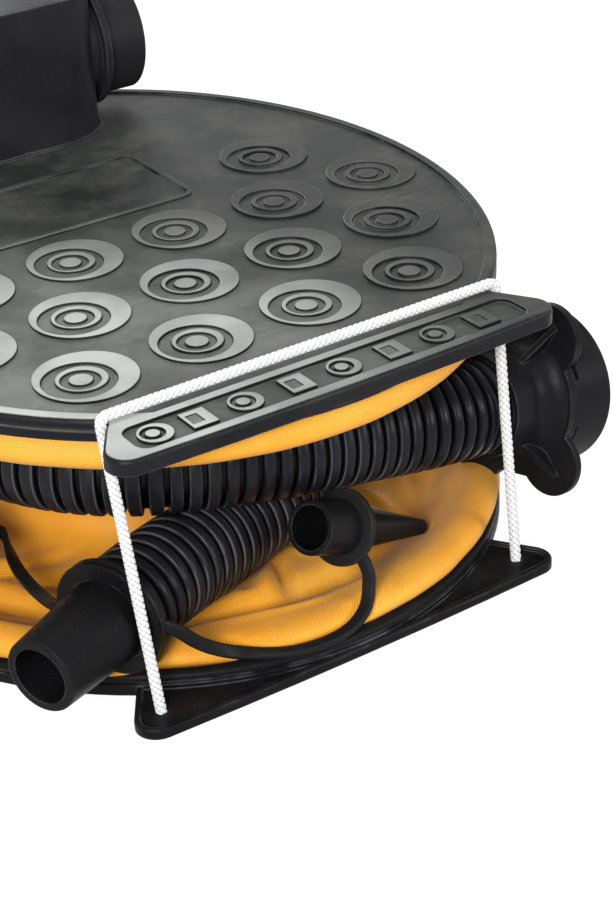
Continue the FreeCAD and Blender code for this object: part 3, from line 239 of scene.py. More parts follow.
def copies(pattern, matrices, name):
    """One piece made of a copy of the pattern at each place; the pattern itself goes."""
    made = []
    for matrix in matrices:
        copy = pattern.copy()
        copy.data = pattern.data.copy()
        bpy.context.collection.objects.link(copy)
        copy.data.transform(matrix)
        made.append(copy)
    bpy.data.objects.remove(pattern)
    return joined(made, name)


def joined(pieces, name):
    take(pieces[0])
    for piece in pieces:
        piece.select_set(True)
    if len(pieces) > 1:
        bpy.ops.object.join()
    whole = bpy.context.view_layer.objects.active
    whole.name = name
    whole.data.name = name
    return whole


def dress(piece, material, body=None):
    piece.data.materials.clear()
    piece.data.materials.append(material)
    if body:
        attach(piece, body)


def new_piece(name, data):
    """An object for this mesh or curve, in the scene."""
    piece = bpy.data.objects.new(name, data)
    bpy.context.collection.objects.link(piece)
    return piece


def mesh_piece(name, points, faces, uv=None, edges=()):
    """A piece from points and faces, or edges alone; uv, if given, has one pair for each
    face's corner."""
    mesh = bpy.data.meshes.new(name)
    mesh.from_pydata([tuple(p) for p in points], edges, faces)
    if uv is not None:
        layer = mesh.uv_layers.new(name="UVMap")
        layer.data.foreach_set("uv", np.asarray(uv, np.float32).ravel())
    mesh.update()
    return new_piece(name, mesh)


def ring_faces(rows, around):
    """Faces between closed rings of points, ring after ring."""
    faces = []
    for row in range(rows - 1):
        for column in range(around):
            after = (column + 1) % around
            faces.append((row * around + column, row * around + after,
                          (row + 1) * around + after, (row + 1) * around + column))
    return faces


def ring_uv(along, around, width):
    """The UV map of those faces: round the rings, a width for each face, and along them."""
    uv = []
    for low, high in zip(along, along[1:]):
        for column in range(around):
            uv += [(column * width, low), ((column + 1) * width, low),
                   ((column + 1) * width, high), (column * width, high)]
    return uv


def end_faces(rows, around):
    """One face over the first ring of points and one over the last."""
    last = (rows - 1) * around
    return [tuple(reversed(range(around))), tuple(range(last, last + around))]


def mark_crown(piece, share):
    """Keeps how high each point stands, 0 in a groove and 1 on top, for the finish."""
    crown = piece.data.attributes.new("crown", "FLOAT", "POINT")
    crown.data.foreach_set("value", np.asarray(share, np.float32).ravel())


# ------------------------------------------------------------ cords: line, frames, tube
def distance_along(line):
    return np.concatenate([[0], np.cumsum(np.linalg.norm(np.diff(line, axis=0), axis=1))])


def read_at(at, along, line):
    """The line's points at the distances wanted, each column read between its neighbours."""
    return np.stack([np.interp(at, along, column) for column in line.T], axis=1)


def route_curve(points):
    """A smooth open spline with the route's points as its control points."""
    curve = bpy.data.curves.new("route", "CURVE")
    curve.dimensions = "3D"
    spline = curve.splines.new("NURBS")
    spline.points.add(len(points) - 1)
    for control, point in zip(spline.points, points):
        control.co = (*point, 1.0)
    spline.order_u = 3
    spline.use_endpoint_u = True
    spline.resolution_u = 24
    return new_piece("route", curve)


def line_of(points, step):
    """Evenly spaced points along the route's spline, the last at its very end."""
    curve = route_curve(points)
    mesh = bpy.data.meshes.new_from_object(curve)
    line = np.array([v.co for v in mesh.vertices], float)
    bpy.data.meshes.remove(mesh)
    bpy.data.objects.remove(curve)
    along = distance_along(line)
    at = np.linspace(0, along[-1], max(2, round(along[-1] / step) + 1))
    return read_at(at, along, line), at


def headings_of(line):
    heading = np.gradient(line, axis=0)
    return heading / np.linalg.norm(heading, axis=1)[:, None]


def carried_frames(line, first_side):
    """Two directions across the line at each point, carried along it without twisting."""
    heading = headings_of(line)
    side = np.array(first_side, float)
    sides = []
    for direction in heading:
        side = side - direction * (side @ direction)
        side = side / np.linalg.norm(side)
        sides.append(side)
    sides = np.array(sides)
    return sides, np.cross(heading, sides)


def tube(name, line, along, radii, first_side=(0, 0, 1)):
    """A closed tube round a line. radii has a row for each point and a column for each
    direction round it; the UV map runs round the tube and along it, in metres."""
    around = radii.shape[1]
    sides, ups = carried_frames(line, first_side)
    angle = np.linspace(0, 2 * math.pi, around, endpoint=False)
    ring = (sides[:, None] * np.cos(angle)[None, :, None]
            + ups[:, None] * np.sin(angle)[None, :, None])
    points = (line[:, None] + ring * radii[:, :, None]).reshape(-1, 3)
    width = 2 * math.pi * float(np.mean(radii)) / around
    faces = ring_faces(len(line), around) + end_faces(len(line), around)
    uv = ring_uv(along, around, width) + [(0.0, 0.0)] * (2 * around)
    return mesh_piece(name, points, faces, uv)


# ------------------------------------------------------------ shared finishes
def feed(tree, made, inputs):
    for label, value in inputs.items():
        socket = made.inputs[label]
        if isinstance(value, bpy.types.NodeSocket):
            tree.links.new(value, socket)
        else:
            socket.default_value = value


def add(tree, kind, inputs=None, **settings):
    made = tree.nodes.new(kind)
    for label, value in settings.items():
        setattr(made, label, value)
    feed(tree, made, inputs or {})
    return made


def reckon(tree, operation, first, second):
    made = add(tree, "ShaderNodeMath", operation=operation)
    feed(tree, made, {0: first, 1: second})
    return made.outputs[0]


def measure(tree, operation, first, second):
    """A single number worked out from two directions or places."""
    made = add(tree, "ShaderNodeVectorMath", operation=operation)
    feed(tree, made, {0: first, 1: second})
    return made.outputs["Value"]


def remap(tree, value, low, high, to_low=0.0, to_high=1.0, smooth=True):
    kind = "SMOOTHSTEP" if smooth else "LINEAR"
    made = add(tree, "ShaderNodeMapRange", {
        "Value": value, "From Min": low, "From Max": high,
        "To Min": to_low, "To Max": to_high}, interpolation_type=kind)
    return made.outputs[0]


def between(tree, share, low, high):
    return remap(tree, share, 0.0, 1.0, low, high)


def weighed(tree, first, second, share):
    """The first value's share of the sum, and the rest of the second."""
    return reckon(tree, "ADD", reckon(tree, "MULTIPLY", first, share),
                  reckon(tree, "MULTIPLY", second, 1 - share))


def tint(tree, share, first, second, mode="MIX"):
    """Mixes two colours, each a socket or its red, green and blue."""
    made = add(tree, "ShaderNodeMix", data_type="RGBA", blend_type=mode)
    first, second = ((*colour, 1.0) if isinstance(colour, tuple) else colour
                     for colour in (first, second))
    feed(tree, made, {0: share, 6: first, 7: second})
    return made.outputs[2]


def object_place(tree):
    return add(tree, "ShaderNodeTexCoord").outputs["Object"]


def uv_place(tree):
    return add(tree, "ShaderNodeUVMap", uv_map="UVMap").outputs[0]


def laid(tree, place, turn, scale=(1.0, 1.0, 1.0)):
    """The place turned about Z, then stretched."""
    made = add(tree, "ShaderNodeMapping", {
        "Vector": place, "Rotation": (0, 0, turn), "Scale": scale})
    return made.outputs[0]


def noise(tree, place, scale, detail, roughness=0.5, distortion=0.0):
    made = add(tree, "ShaderNodeTexNoise", {
        "Vector": place, "Scale": scale, "Detail": detail, "Roughness": roughness,
        "Distortion": distortion})
    return made.outputs[0]


def crown_height(tree):
    return add(tree, "ShaderNodeAttribute", attribute_name="crown").outputs["Fac"]


def facing_up(tree, low, high):
    """1 on what faces up and 0 on what doesn't."""
    normal = add(tree, "ShaderNodeTexCoord").outputs["Normal"]
    split = add(tree, "ShaderNodeSeparateXYZ", {0: normal})
    return remap(tree, split.outputs["Z"], low, high)


def begin_effect(name, inputs, outputs):
    """A shader node group with named inputs and outputs, and its two end nodes."""
    group = bpy.data.node_groups.new(name, "ShaderNodeTree")
    for label, value in inputs:
        socket = group.interface.new_socket(label, in_out="INPUT", socket_type="NodeSocketFloat")
        socket.default_value = value
    for label in outputs:
        group.interface.new_socket(label, in_out="OUTPUT", socket_type="NodeSocketFloat")
    return group, group.nodes.new("NodeGroupInput"), group.nodes.new("NodeGroupOutput")


def make_moulded_grain():
    """The fine leather-like grain of a moulded plastic, and slow changes of its tone."""
    group, given, result = begin_effect(
        "moulded_grain", [("Grain size", 0.6 * MM)], ["Height", "Tone"])
    place = object_place(group)
    scale = reckon(group, "DIVIDE", 1.0, given.outputs["Grain size"])
    fine = noise(group, place, scale, 2.0, 0.6)
    cells = add(group, "ShaderNodeTexVoronoi", {"Vector": place, "Scale": scale})
    pits = remap(group, cells.outputs["Distance"], 0.1, 0.55)
    slow = noise(group, place, 22.0, 4.0, 0.6)
    feed(group, result, {"Height": weighed(group, pits, fine, 0.5),
                         "Tone": remap(group, slow, 0.3, 0.7)})
    return group


def make_edge_rub():
    """Where an edge is rubbed lighter: a band along edges, broken up into patches."""
    group, given, result = begin_effect(
        "edge_rub", [("Width", 0.8 * MM), ("Patch size", 12 * MM)], ["Mask"])
    rounded = add(group, "ShaderNodeBevel", {"Radius": given.outputs["Width"]}, samples=4)
    flat = add(group, "ShaderNodeNewGeometry").outputs["Normal"]
    agreement = measure(group, "DOT_PRODUCT", rounded.outputs[0], flat)
    edge = remap(group, agreement, 0.985, 0.90)
    scale = reckon(group, "DIVIDE", 1.0, given.outputs["Patch size"])
    broken = remap(group, noise(group, object_place(group), scale, 5.0), 0.38, 0.62)
    feed(group, result, {"Mask": reckon(group, "MULTIPLY", edge, broken)})
    return group


def make_scuffs():
    """Thin scratches in three directions and soft rubbed clouds between them."""
    group, given, result = begin_effect(
        "scuffs", [("Length", 30 * MM), ("Amount", 0.5)], ["Mask", "Clouds"])
    place = object_place(group)
    scale = reckon(group, "DIVIDE", 1.0, given.outputs["Length"])
    marks = None
    for turn in (0.35, -0.9, 1.7):
        narrow = laid(group, place, turn, (1.0, 30.0, 1.0))
        thin = remap(group, noise(group, narrow, scale, 3.0, 0.6, 0.5), 0.64, 0.74)
        marks = thin if marks is None else reckon(group, "MAXIMUM", marks, thin)
    soft = remap(group, noise(group, place, 16.0, 6.0, 0.62), 0.35, 0.72)
    mask = reckon(group, "MULTIPLY", reckon(group, "MULTIPLY", marks, soft),
                  given.outputs["Amount"])
    feed(group, result, {"Mask": mask, "Clouds": soft})
    return group


def make_dust():
    """Fine dust that settles on what faces up, thicker in some places."""
    group, given, result = begin_effect("dust", [("Amount", 0.3)], ["Mask"])
    thick = remap(group, noise(group, object_place(group), 35.0, 6.0, 0.7), 0.42, 0.75)
    settled = reckon(group, "MULTIPLY", facing_up(group, 0.25, 0.95), thick)
    feed(group, result, {"Mask": reckon(group, "MULTIPLY", settled, given.outputs["Amount"])})
    return group


BRIGHTEST_WEAR_AND_SHEEN = (-0.075, -0.105, 0.108)      # at the front left, where the foot comes down and the painted sheen is brightest
WEAR_AND_SHEEN_NEAR = 40 * MM
WEAR_AND_SHEEN_FAR = 170 * MM


def make_tread_wear_and_sheen():
    """Rubbed high places of the tread, and painted sheen: the first mask is 1 on its top level and
    0 on its floor, and the second is 1 where the foot comes down and the painted sheen is
    brightest, and fades away from there."""
    group, given, result = begin_effect(
        "tread_wear_and_sheen", [("Low", -0.7 * MM), ("High", -0.2 * MM)], ["High places", "Trodden and sheen"])
    place = object_place(group)
    upright = measure(group, "DOT_PRODUCT", place,
                      (0.0, -math.sin(PEDAL_TILT), math.cos(PEDAL_TILT)))
    front = pedal_point(0, FRONT_EDGE, 0)
    level = front.z * math.cos(PEDAL_TILT) - front.y * math.sin(PEDAL_TILT)
    above = reckon(group, "SUBTRACT", upright, level)
    high = remap(group, above, given.outputs["Low"], given.outputs["High"])
    away = measure(group, "DISTANCE", place, BRIGHTEST_WEAR_AND_SHEEN)
    broken = remap(group, noise(group, place, 26.0, 4.0), 0.32, 0.62, 0.55, 1.0)
    feed(group, result, {"High places": reckon(group, "MULTIPLY", high, broken),
                         "Trodden and sheen": remap(group, away, WEAR_AND_SHEEN_FAR, WEAR_AND_SHEEN_NEAR)})
    return group


MOULDED_GRAIN = make_moulded_grain()
EDGE_RUB = make_edge_rub()
SCUFFS = make_scuffs()
DUST = make_dust()
TREAD_WEAR_AND_SHEEN = make_tread_wear_and_sheen()


def begin_finish(name, **shader):
    """A material with its Principled BSDF, whose plain values are given here."""
    material = bpy.data.materials.new(name)
    material.use_nodes = True
    tree = material.node_tree
    bsdf = tree.nodes["Principled BSDF"]
    for label, value in shader.items():
        bsdf.inputs[label.replace("_", " ")].default_value = value
    return material, tree, bsdf


def effect(tree, group, **values):
    made = tree.nodes.new("ShaderNodeGroup")
    made.node_tree = group
    for label, value in values.items():
        made.inputs[label.replace("_", " ")].default_value = value
    return made


def rubbed(tree, colour, width, patch_size, share, worn_colour):
    """The colour, worn along its edges."""
    edge = effect(tree, EDGE_RUB, Width=width, Patch_size=patch_size)
    worn = reckon(tree, "MULTIPLY", edge.outputs["Mask"], share)
    return tint(tree, worn, colour, worn_colour)


def dusted(tree, colour, amount, dust_colour):
    return tint(tree, effect(tree, DUST, Amount=amount).outputs["Mask"], colour, dust_colour)


def end_finish(tree, bsdf, colour, rough, height, strength, depth, rounding=0.0):
    """Feeds the shader its colour, roughness and relief; rounding softens every sharp
    edge by that radius."""
    tree.links.new(colour, bsdf.inputs["Base Color"])
    tree.links.new(rough, bsdf.inputs["Roughness"])
    relief = add(tree, "ShaderNodeBump", {
        "Height": height, "Strength": strength, "Distance": depth})
    if rounding:
        soft = add(tree, "ShaderNodeBevel", {"Radius": rounding}, samples=6)
        tree.links.new(soft.outputs[0], relief.inputs["Normal"])
    tree.links.new(relief.outputs[0], bsdf.inputs["Normal"])


def black_plastic(name, shade, grain_size, grain_depth, roughness, rub, dust, rounding):
    """Moulded black plastic: grain, tone, light rubbed edges and a little dust."""
    material, tree, bsdf = begin_finish(name, Specular_IOR_Level=0.05)
    grain = effect(tree, MOULDED_GRAIN, Grain_size=grain_size)
    tone = grain.outputs["Tone"]
    colour = tint(tree, tone, (shade, shade, shade * 1.12),
                  (shade * 1.8, shade * 1.8, shade * 2.0))
    colour = rubbed(tree, colour, 1.0 * MM, 12 * MM, rub, (0.13, 0.13, 0.135))
    colour = dusted(tree, colour, dust, (0.11, 0.107, 0.102))
    rough = between(tree, tone, roughness - 0.05, roughness + 0.07)
    end_finish(tree, bsdf, colour, rough, grain.outputs["Height"], 0.55, grain_depth, rounding)
    return material


def tread_plastic():
    """The pedal's plastic: black sides, a greyed tread floor, and high places that feet have
    rubbed light. The tread's grey over the black of the sides is partly painted sheen."""
    material, tree, bsdf = begin_finish("tread_plastic", Specular_IOR_Level=0.10)
    top = facing_up(tree, 0.80, 0.97)
    grain = effect(tree, MOULDED_GRAIN, Grain_size=0.5 * MM)
    marks = effect(tree, SCUFFS, Length=30 * MM, Amount=0.5)
    clouds = marks.outputs["Clouds"]
    wear = effect(tree, TREAD_WEAR_AND_SHEEN, Low=-0.7 * MM, High=-0.2 * MM)
    trodden_and_sheen = wear.outputs["Trodden and sheen"]
    side = tint(tree, grain.outputs["Tone"], (0.006, 0.006, 0.0075), (0.013, 0.013, 0.0155))
    # Lighter at the front left and darker to the right and back: wear and painted sheen.
    near_floor = tint(tree, clouds, (0.036, 0.039, 0.036), (0.150, 0.156, 0.140))
    far_floor = tint(tree, clouds, (0.014, 0.0155, 0.015), (0.040, 0.042, 0.040))
    floor_tone = tint(tree, trodden_and_sheen, far_floor, near_floor)
    high_tone = tint(tree, trodden_and_sheen, (0.026, 0.027, 0.0265), (0.40, 0.41, 0.385))
    tread = tint(tree, wear.outputs["High places"], floor_tone, high_tone)
    # Painted sheen, in part: the top is greyer than the black sides of the same plastic.
    colour = tint(tree, top, side, tread)
    scratch = reckon(tree, "MULTIPLY", marks.outputs["Mask"], top)
    colour = tint(tree, scratch, colour, (0.24, 0.245, 0.235))
    share = remap(tree, top, 0.0, 1.0, 0.22, 0.6, smooth=False)
    colour = rubbed(tree, colour, 0.8 * MM, 20 * MM, share, (0.30, 0.305, 0.295))
    colour = dusted(tree, colour, 0.16, (0.22, 0.215, 0.20))
    height = reckon(tree, "SUBTRACT", grain.outputs["Height"], marks.outputs["Mask"])
    end_finish(tree, bsdf, colour, between(tree, clouds, 0.34, 0.47), height, 0.35,
               0.12 * MM, 0.7 * MM)
    return material


def hose_plastic():
    """Satin black, with painted shade in the grooves between the ribs and a painted highlight on
    the crests' edges.
    """
    material, tree, bsdf = begin_finish("hose_black", Specular_IOR_Level=0.09)
    grain = effect(tree, MOULDED_GRAIN, Grain_size=0.9 * MM)
    tone = grain.outputs["Tone"]
    colour = tint(tree, tone, (0.007, 0.007, 0.0090), (0.014, 0.014, 0.0170))
    colour = dusted(tree, colour, 0.08, (0.10, 0.098, 0.095))
    out = crown_height(tree)
    # Painted highlight: a lighter line along the edges of each rib's crest.
    shoulder_highlight = reckon(tree, "MULTIPLY", remap(tree, out, 0.62, 0.80),
                      remap(tree, out, 0.985, 0.88))
    shoulder_highlight = reckon(tree, "MULTIPLY", shoulder_highlight, remap(tree, tone, 0.2, 0.8))
    colour = tint(tree, shoulder_highlight, colour, (0.085, 0.086, 0.092))
    # Painted shade: the grooves go near black.
    colour = tint(tree, remap(tree, out, 0.15, 0.7), (0.0012, 0.0012, 0.0014), colour)
    end_finish(tree, bsdf, colour, between(tree, tone, 0.26, 0.38), grain.outputs["Height"],
               0.35, 0.12 * MM)
    return material


CLOTH_RIB_PITCH = 0.76 * MM
CLOTH_RIB_TURNS = (math.radians(38), math.radians(-52))


def bellows_cloth():
    """Coated cloth with a fine diagonal rib, soiled a little in patches."""
    material, tree, bsdf = begin_finish(
        "bellows_cloth", Specular_IOR_Level=0.25, Sheen_Weight=0.10, Sheen_Roughness=0.45)
    flat = uv_place(tree)
    ribs = [add(tree, "ShaderNodeTexWave", {
        "Vector": laid(tree, flat, turn), "Scale": math.pi / (10.0 * CLOTH_RIB_PITCH),
        "Distortion": 0.3, "Detail": 1.0, "Detail Scale": 4.0}, wave_type="BANDS")
        for turn in CLOTH_RIB_TURNS]
    weave = weighed(tree, ribs[0].outputs["Fac"], ribs[1].outputs["Fac"], 0.65)
    place = object_place(tree)
    cloudy = remap(tree, noise(tree, place, 14.0, 5.0, 0.6), 0.3, 0.7)
    colour = tint(tree, cloudy, (0.84, 0.335, 0.022), (0.92, 0.435, 0.048))
    shade = remap(tree, weave, 0.15, 0.70, 0.68, 1.06, smooth=False)
    shaded = add(tree, "ShaderNodeCombineColor", {0: shade, 1: shade, 2: shade})
    colour = tint(tree, 1.0, colour, shaded.outputs[0], mode="MULTIPLY")
    soiled = remap(tree, noise(tree, place, 26.0, 7.0, 0.72), 0.54, 0.78, 0.0, 0.34)
    colour = tint(tree, soiled, colour, (0.26, 0.095, 0.018))
    end_finish(tree, bsdf, colour, between(tree, weave, 0.62, 0.48), weave, 0.5, 0.12 * MM)
    return material


def tether_rubber():
    """Soft black rubber with a dull bloom."""
    material, tree, bsdf = begin_finish("tether_rubber", Specular_IOR_Level=0.08)
    grain = effect(tree, MOULDED_GRAIN, Grain_size=0.8 * MM)
    tone = grain.outputs["Tone"]
    colour = tint(tree, tone, (0.0065, 0.0065, 0.0070), (0.0120, 0.0118, 0.0122))
    colour = rubbed(tree, colour, 0.5 * MM, 15 * MM, 0.3, (0.12, 0.115, 0.11))
    colour = dusted(tree, colour, 0.07, (0.22, 0.20, 0.17))
    end_finish(tree, bsdf, colour, between(tree, tone, 0.36, 0.48), grain.outputs["Height"],
               0.4, 0.15 * MM)
    return material


def zinc_steel():
    """Zinc-plated steel, faintly streaked and dulled in patches."""
    material, tree, bsdf = begin_finish("zinc_steel", Metallic=1.0)
    marks = effect(tree, SCUFFS, Length=12 * MM, Amount=0.8)
    streaks, clouds = marks.outputs["Mask"], marks.outputs["Clouds"]
    colour = tint(tree, clouds, (0.33, 0.33, 0.34), (0.52, 0.52, 0.52))
    colour = tint(tree, streaks, colour, (0.20, 0.20, 0.21))
    end_finish(tree, bsdf, colour, between(tree, clouds, 0.46, 0.30), streaks, 0.3, 0.05 * MM)
    return material


def cord_yarn():
    """White braid: fine yarn lines along each plait, a little grey where it was handled, and
    painted shade between the plaits.
    """
    material, tree, bsdf = begin_finish(
        "cord_yarn", Specular_IOR_Level=0.25, Sheen_Weight=0.25, Sheen_Roughness=0.5)
    yarn = noise(tree, laid(tree, uv_place(tree), 0.9), 2600.0, 2.0, 0.6)
    handled = remap(tree, noise(tree, object_place(tree), 45.0, 5.0, 0.65), 0.40, 0.72)
    colour = tint(tree, handled, (0.80, 0.805, 0.81), (0.70, 0.70, 0.69))
    # Painted shade: darker between the plaits, lightest on their crowns.
    raised = remap(tree, crown_height(tree), 0.0, 0.9)
    colour = tint(tree, raised, (0.36, 0.36, 0.37), colour)
    rough = remap(tree, yarn, 0.3, 0.7, 0.60, 0.78)
    end_finish(tree, bsdf, colour, rough, yarn, 0.5, 0.1 * MM)
    return material


BASE_BLACK = black_plastic(
    "base_black", shade=0.0050, grain_size=0.8 * MM, grain_depth=0.10 * MM,
    roughness=0.36, rub=0.60, dust=0.10, rounding=0.8 * MM)
NOZZLE_BLACK = black_plastic(
    "nozzle_black", shade=0.0040, grain_size=0.8 * MM, grain_depth=0.60 * MM,
    roughness=0.30, rub=0.35, dust=0.03, rounding=0.6 * MM)
CONNECTOR_BLACK = black_plastic(
    "connector_black", shade=0.0065, grain_size=0.9 * MM, grain_depth=0.12 * MM,
    roughness=0.34, rub=0.40, dust=0.06, rounding=0.9 * MM)
ADAPTER_BLACK = black_plastic(
    "adapter_black", shade=0.0045, grain_size=1.2 * MM, grain_depth=0.05 * MM,
    roughness=0.28, rub=0.30, dust=0.04, rounding=0.5 * MM)
HOUSING_BLACK = black_plastic(
    "housing_black", shade=0.010, grain_size=0.9 * MM, grain_depth=0.14 * MM,
    roughness=0.40, rub=0.50, dust=0.14, rounding=0.9 * MM)
TREAD_PLASTIC = tread_plastic()
HOSE_BLACK = hose_plastic()
BELLOWS_CLOTH = bellows_cloth()
TETHER_RUBBER = tether_rubber()
ZINC_STEEL = zinc_steel()
CORD_YARN = cord_yarn()

CAD_FINISHES = (
    (BASE_BLACK, ("base_plate", "base_bellows_ring", "pedal_bellows_ring",
                  "base_spring_seat", "pedal_spring_seat")),
    (TREAD_PLASTIC, ("pedal_plate",)),
    (HOUSING_BLACK, ("valve_housing", "valve_cover", "inflate_port", "deflate_port",
                     "inflate_cage", "deflate_cage")),
    (CONNECTOR_BLACK, ("hose_connector",)),
    (NOZZLE_BLACK, ("nozzle",)),
    (ADAPTER_BLACK, ("right_adapter", "left_adapter")),
    (TETHER_RUBBER, ("rubber_feet", "inflate_flap", "deflate_flap", "connector_seal")),
    (ZINC_STEEL, ("waist_hoop", "hinge_pin", "hinge_clips", "cover_screws",
                  "housing_screws", "cord_stops")))
for finish, nodes in CAD_FINISHES:
    for node in nodes:
        for material_slot in frame["nodes"][node].material_slots:
            material_slot.material = finish


# ------------------------------------------------------------ hose
def rib_places(length):
    """Where each ring of the hose lies along it, and how far it stands out of the groove."""
    samples = 4000
    fine = np.linspace(0, length, samples)
    pitch = np.interp(fine, RIB_PITCH_AT, RIB_PITCH)
    phase = np.concatenate([[0], np.cumsum(np.diff(fine) / pitch[1:])])
    ribs = int(phase[-1])
    wanted = np.array([rib + share for rib in range(ribs) for share, _ in RIB_SECTION] + [ribs])
    out = np.array([level for _ in range(ribs) for _, level in RIB_SECTION] + [0.0])
    at = np.interp(wanted, phase, fine)
    return np.append(at, length), np.append(out, 0.0)


def corrugated_hose():
    """Ring-shaped ribs with a broad flat crest and a narrow deep groove."""
    line, along = line_of(HOSE_ROUTE, 0.6 * MM)
    at, out = rib_places(float(along[-1]))
    line = read_at(at, along, line)
    radius = HOSE_RADIUS - RIB_DEPTH * (1 - out)
    hose = tube("corrugated_hose", line, at, np.repeat(radius[:, None], HOSE_AROUND, axis=1))
    mark_crown(hose, np.repeat(out, HOSE_AROUND))
    smooth_by_angle(hose, 50)
    dress(hose, HOSE_BLACK, "base")
    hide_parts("hose")
    return line


HOSE_LINE = corrugated_hose()


# ------------------------------------------------------------ closure cord
def cord_route():
    corner = Vector(CORD_CORNER)
    hole = Vector(CORD_HOLE)
    down = (hole - corner).normalized()
    leg = [hole] + [corner + down * reach for reach in CORD_POINTS_FROM_CORNER] + [corner]
    over = [corner - Vector((reach, 0, 0)) for reach in reversed(CORD_POINTS_FROM_CORNER)]
    right = leg + over
    left = [Vector((-p.x, p.y, p.z)) for p in right]
    return left + right[::-1]


def closure_cord():
    """A tight round cord of crossing plaits, each passing over and under the others."""
    around = 36
    plaits = 2
    plait_length = 4.8 * MM
    relief = 0.52 * MM
    line, along = line_of(cord_route(), 0.3 * MM)
    angle = np.linspace(0, 2 * math.pi, around, endpoint=False)
    turn = 2 * math.pi * along / plait_length
    one = plaits * angle[None, :] + turn[:, None]
    other = plaits * angle[None, :] - turn[:, None]
    over = (np.floor(one / math.pi) + np.floor(other / math.pi)) % 2 == 0
    crown = np.where(over, np.abs(np.sin(other)), np.abs(np.sin(one))) ** 0.85
    radii = CORD_DIAMETER / 2 - relief + relief * crown
    cord = tube("braided_cord", line, along, radii, (1, 0, 0))
    smooth_all_over(cord)
    mark_crown(cord, crown)
    dress(cord, CORD_YARN)
    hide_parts("closure_cord")
    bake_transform(cord)


closure_cord()


# ------------------------------------------------------------ bellows
# Each profile runs from the hem to the waist: distance from the middle along X, and
# distance from the plate's inner face, both in millimetres.
LOWER_PROFILE = [
    (133.0, 1.6), (133.2, 4.4), (134.4, 6.2), (137.0, 7.8), (138.4, 10.2), (137.4, 13.0),
    (133.6, 14.8), (128.0, 14.6), (122.0, 11.8), (116.5, 8.2), (111.5, 6.2), (105.5, 6.8),
    (98.0, 7.4), (90.0, 6.4), (82.0, 5.2), (74.0, 4.8), (66.0, 5.8), (59.5, 9.0), (55.0, 15.5),
    (52.2, 27.0), (50.6, 41.0), (50.0, 51.6)]
UPPER_PROFILE = [
    (133.0, 1.6), (133.0, 4.4), (133.8, 6.6), (136.4, 9.2), (137.8, 12.8), (136.8, 16.4),
    (132.6, 18.8), (125.6, 19.0), (115.5, 16.6), (103.0, 13.6), (89.0, 11.6), (76.0, 10.8),
    (66.0, 12.2), (59.5, 16.0), (55.0, 22.0), (52.2, 32.0), (50.6, 43.0), (50.0, 51.6)]
CREASES = [                     # start x, y, end x, y, depth, half width
    (-8, -122, 2, -98, 3.4, 2.6), (-20, -112, -2, -92, 2.2, 3.2), (-44, -116, -22, -127, 1.8, 4.5),
    (-22, -127, 14, -128, 1.6, 4.0), (14, -128, 52, -112, 1.8, 5.0), (26, -112, 14, -90, 2.6, 3.0),
    (42, -104, 30, -84, 2.0, 3.4), (52, -112, 84, -82, 2.4, 5.0), (84, -82, 96, -60, 1.8, 5.0),
    (62, -92, 80, -58, 2.2, 4.0), (70, -104, 104, -62, 1.5, 3.2), (-70, -96, -96, -60, 2.4, 5.5),
    (-60, -84, -88, -40, 2.0, 4.5), (-84, -98, -104, -74, 1.8, 3.6)]
CLOTH_THICKNESS = 0.8 * MM
CLOTH_COLUMNS = 288
CLOTH_ROWS = 52                     # in each half
CLOTH_MEAN_RADIUS = 118 * MM        # for the weave's size
CLOTH_GAP = 0.5 * MM                # between the cloth and what lies on it
TUCK_MIDDLE = -14 * MM              # along X, at the front, under the right adapter
TUCK_HALF_WIDTH = 34 * MM
TUCK_IN = 4.2 * MM
TUCK_DOWN = 3.4 * MM


def smooth_profile(profile):
    """Evenly spaced points on a smooth line through the profile's points."""
    points = np.array(profile, float) * MM
    padded = np.vstack([2 * points[0] - points[1], points, 2 * points[-1] - points[-2]])
    share = np.linspace(0, 1, 12, endpoint=False)[:, None]
    line = []
    for before, start, end, after in zip(padded, padded[1:], padded[2:], padded[3:]):
        line.append(0.5 * (2 * start + (end - before) * share
                           + (2 * before - 5 * start + 4 * end - after) * share ** 2
                           + (3 * start - before - 3 * end + after) * share ** 3))
    line = np.vstack(line + [points[-1:]])
    along = distance_along(line)
    return read_at(np.linspace(0, along[-1], CLOTH_ROWS), along, line)


def eased(share):
    """From 0 to 1 with a soft start and end."""
    return share * share * (3 - 2 * share)


def bump_between(value, low, high, soft):
    """1 between low and high, fading to 0 over soft on either side."""
    rise = np.clip((value - low + soft) / soft, 0, 1)
    fall = np.clip((high + soft - value) / soft, 0, 1)
    return eased(rise) * eased(fall)


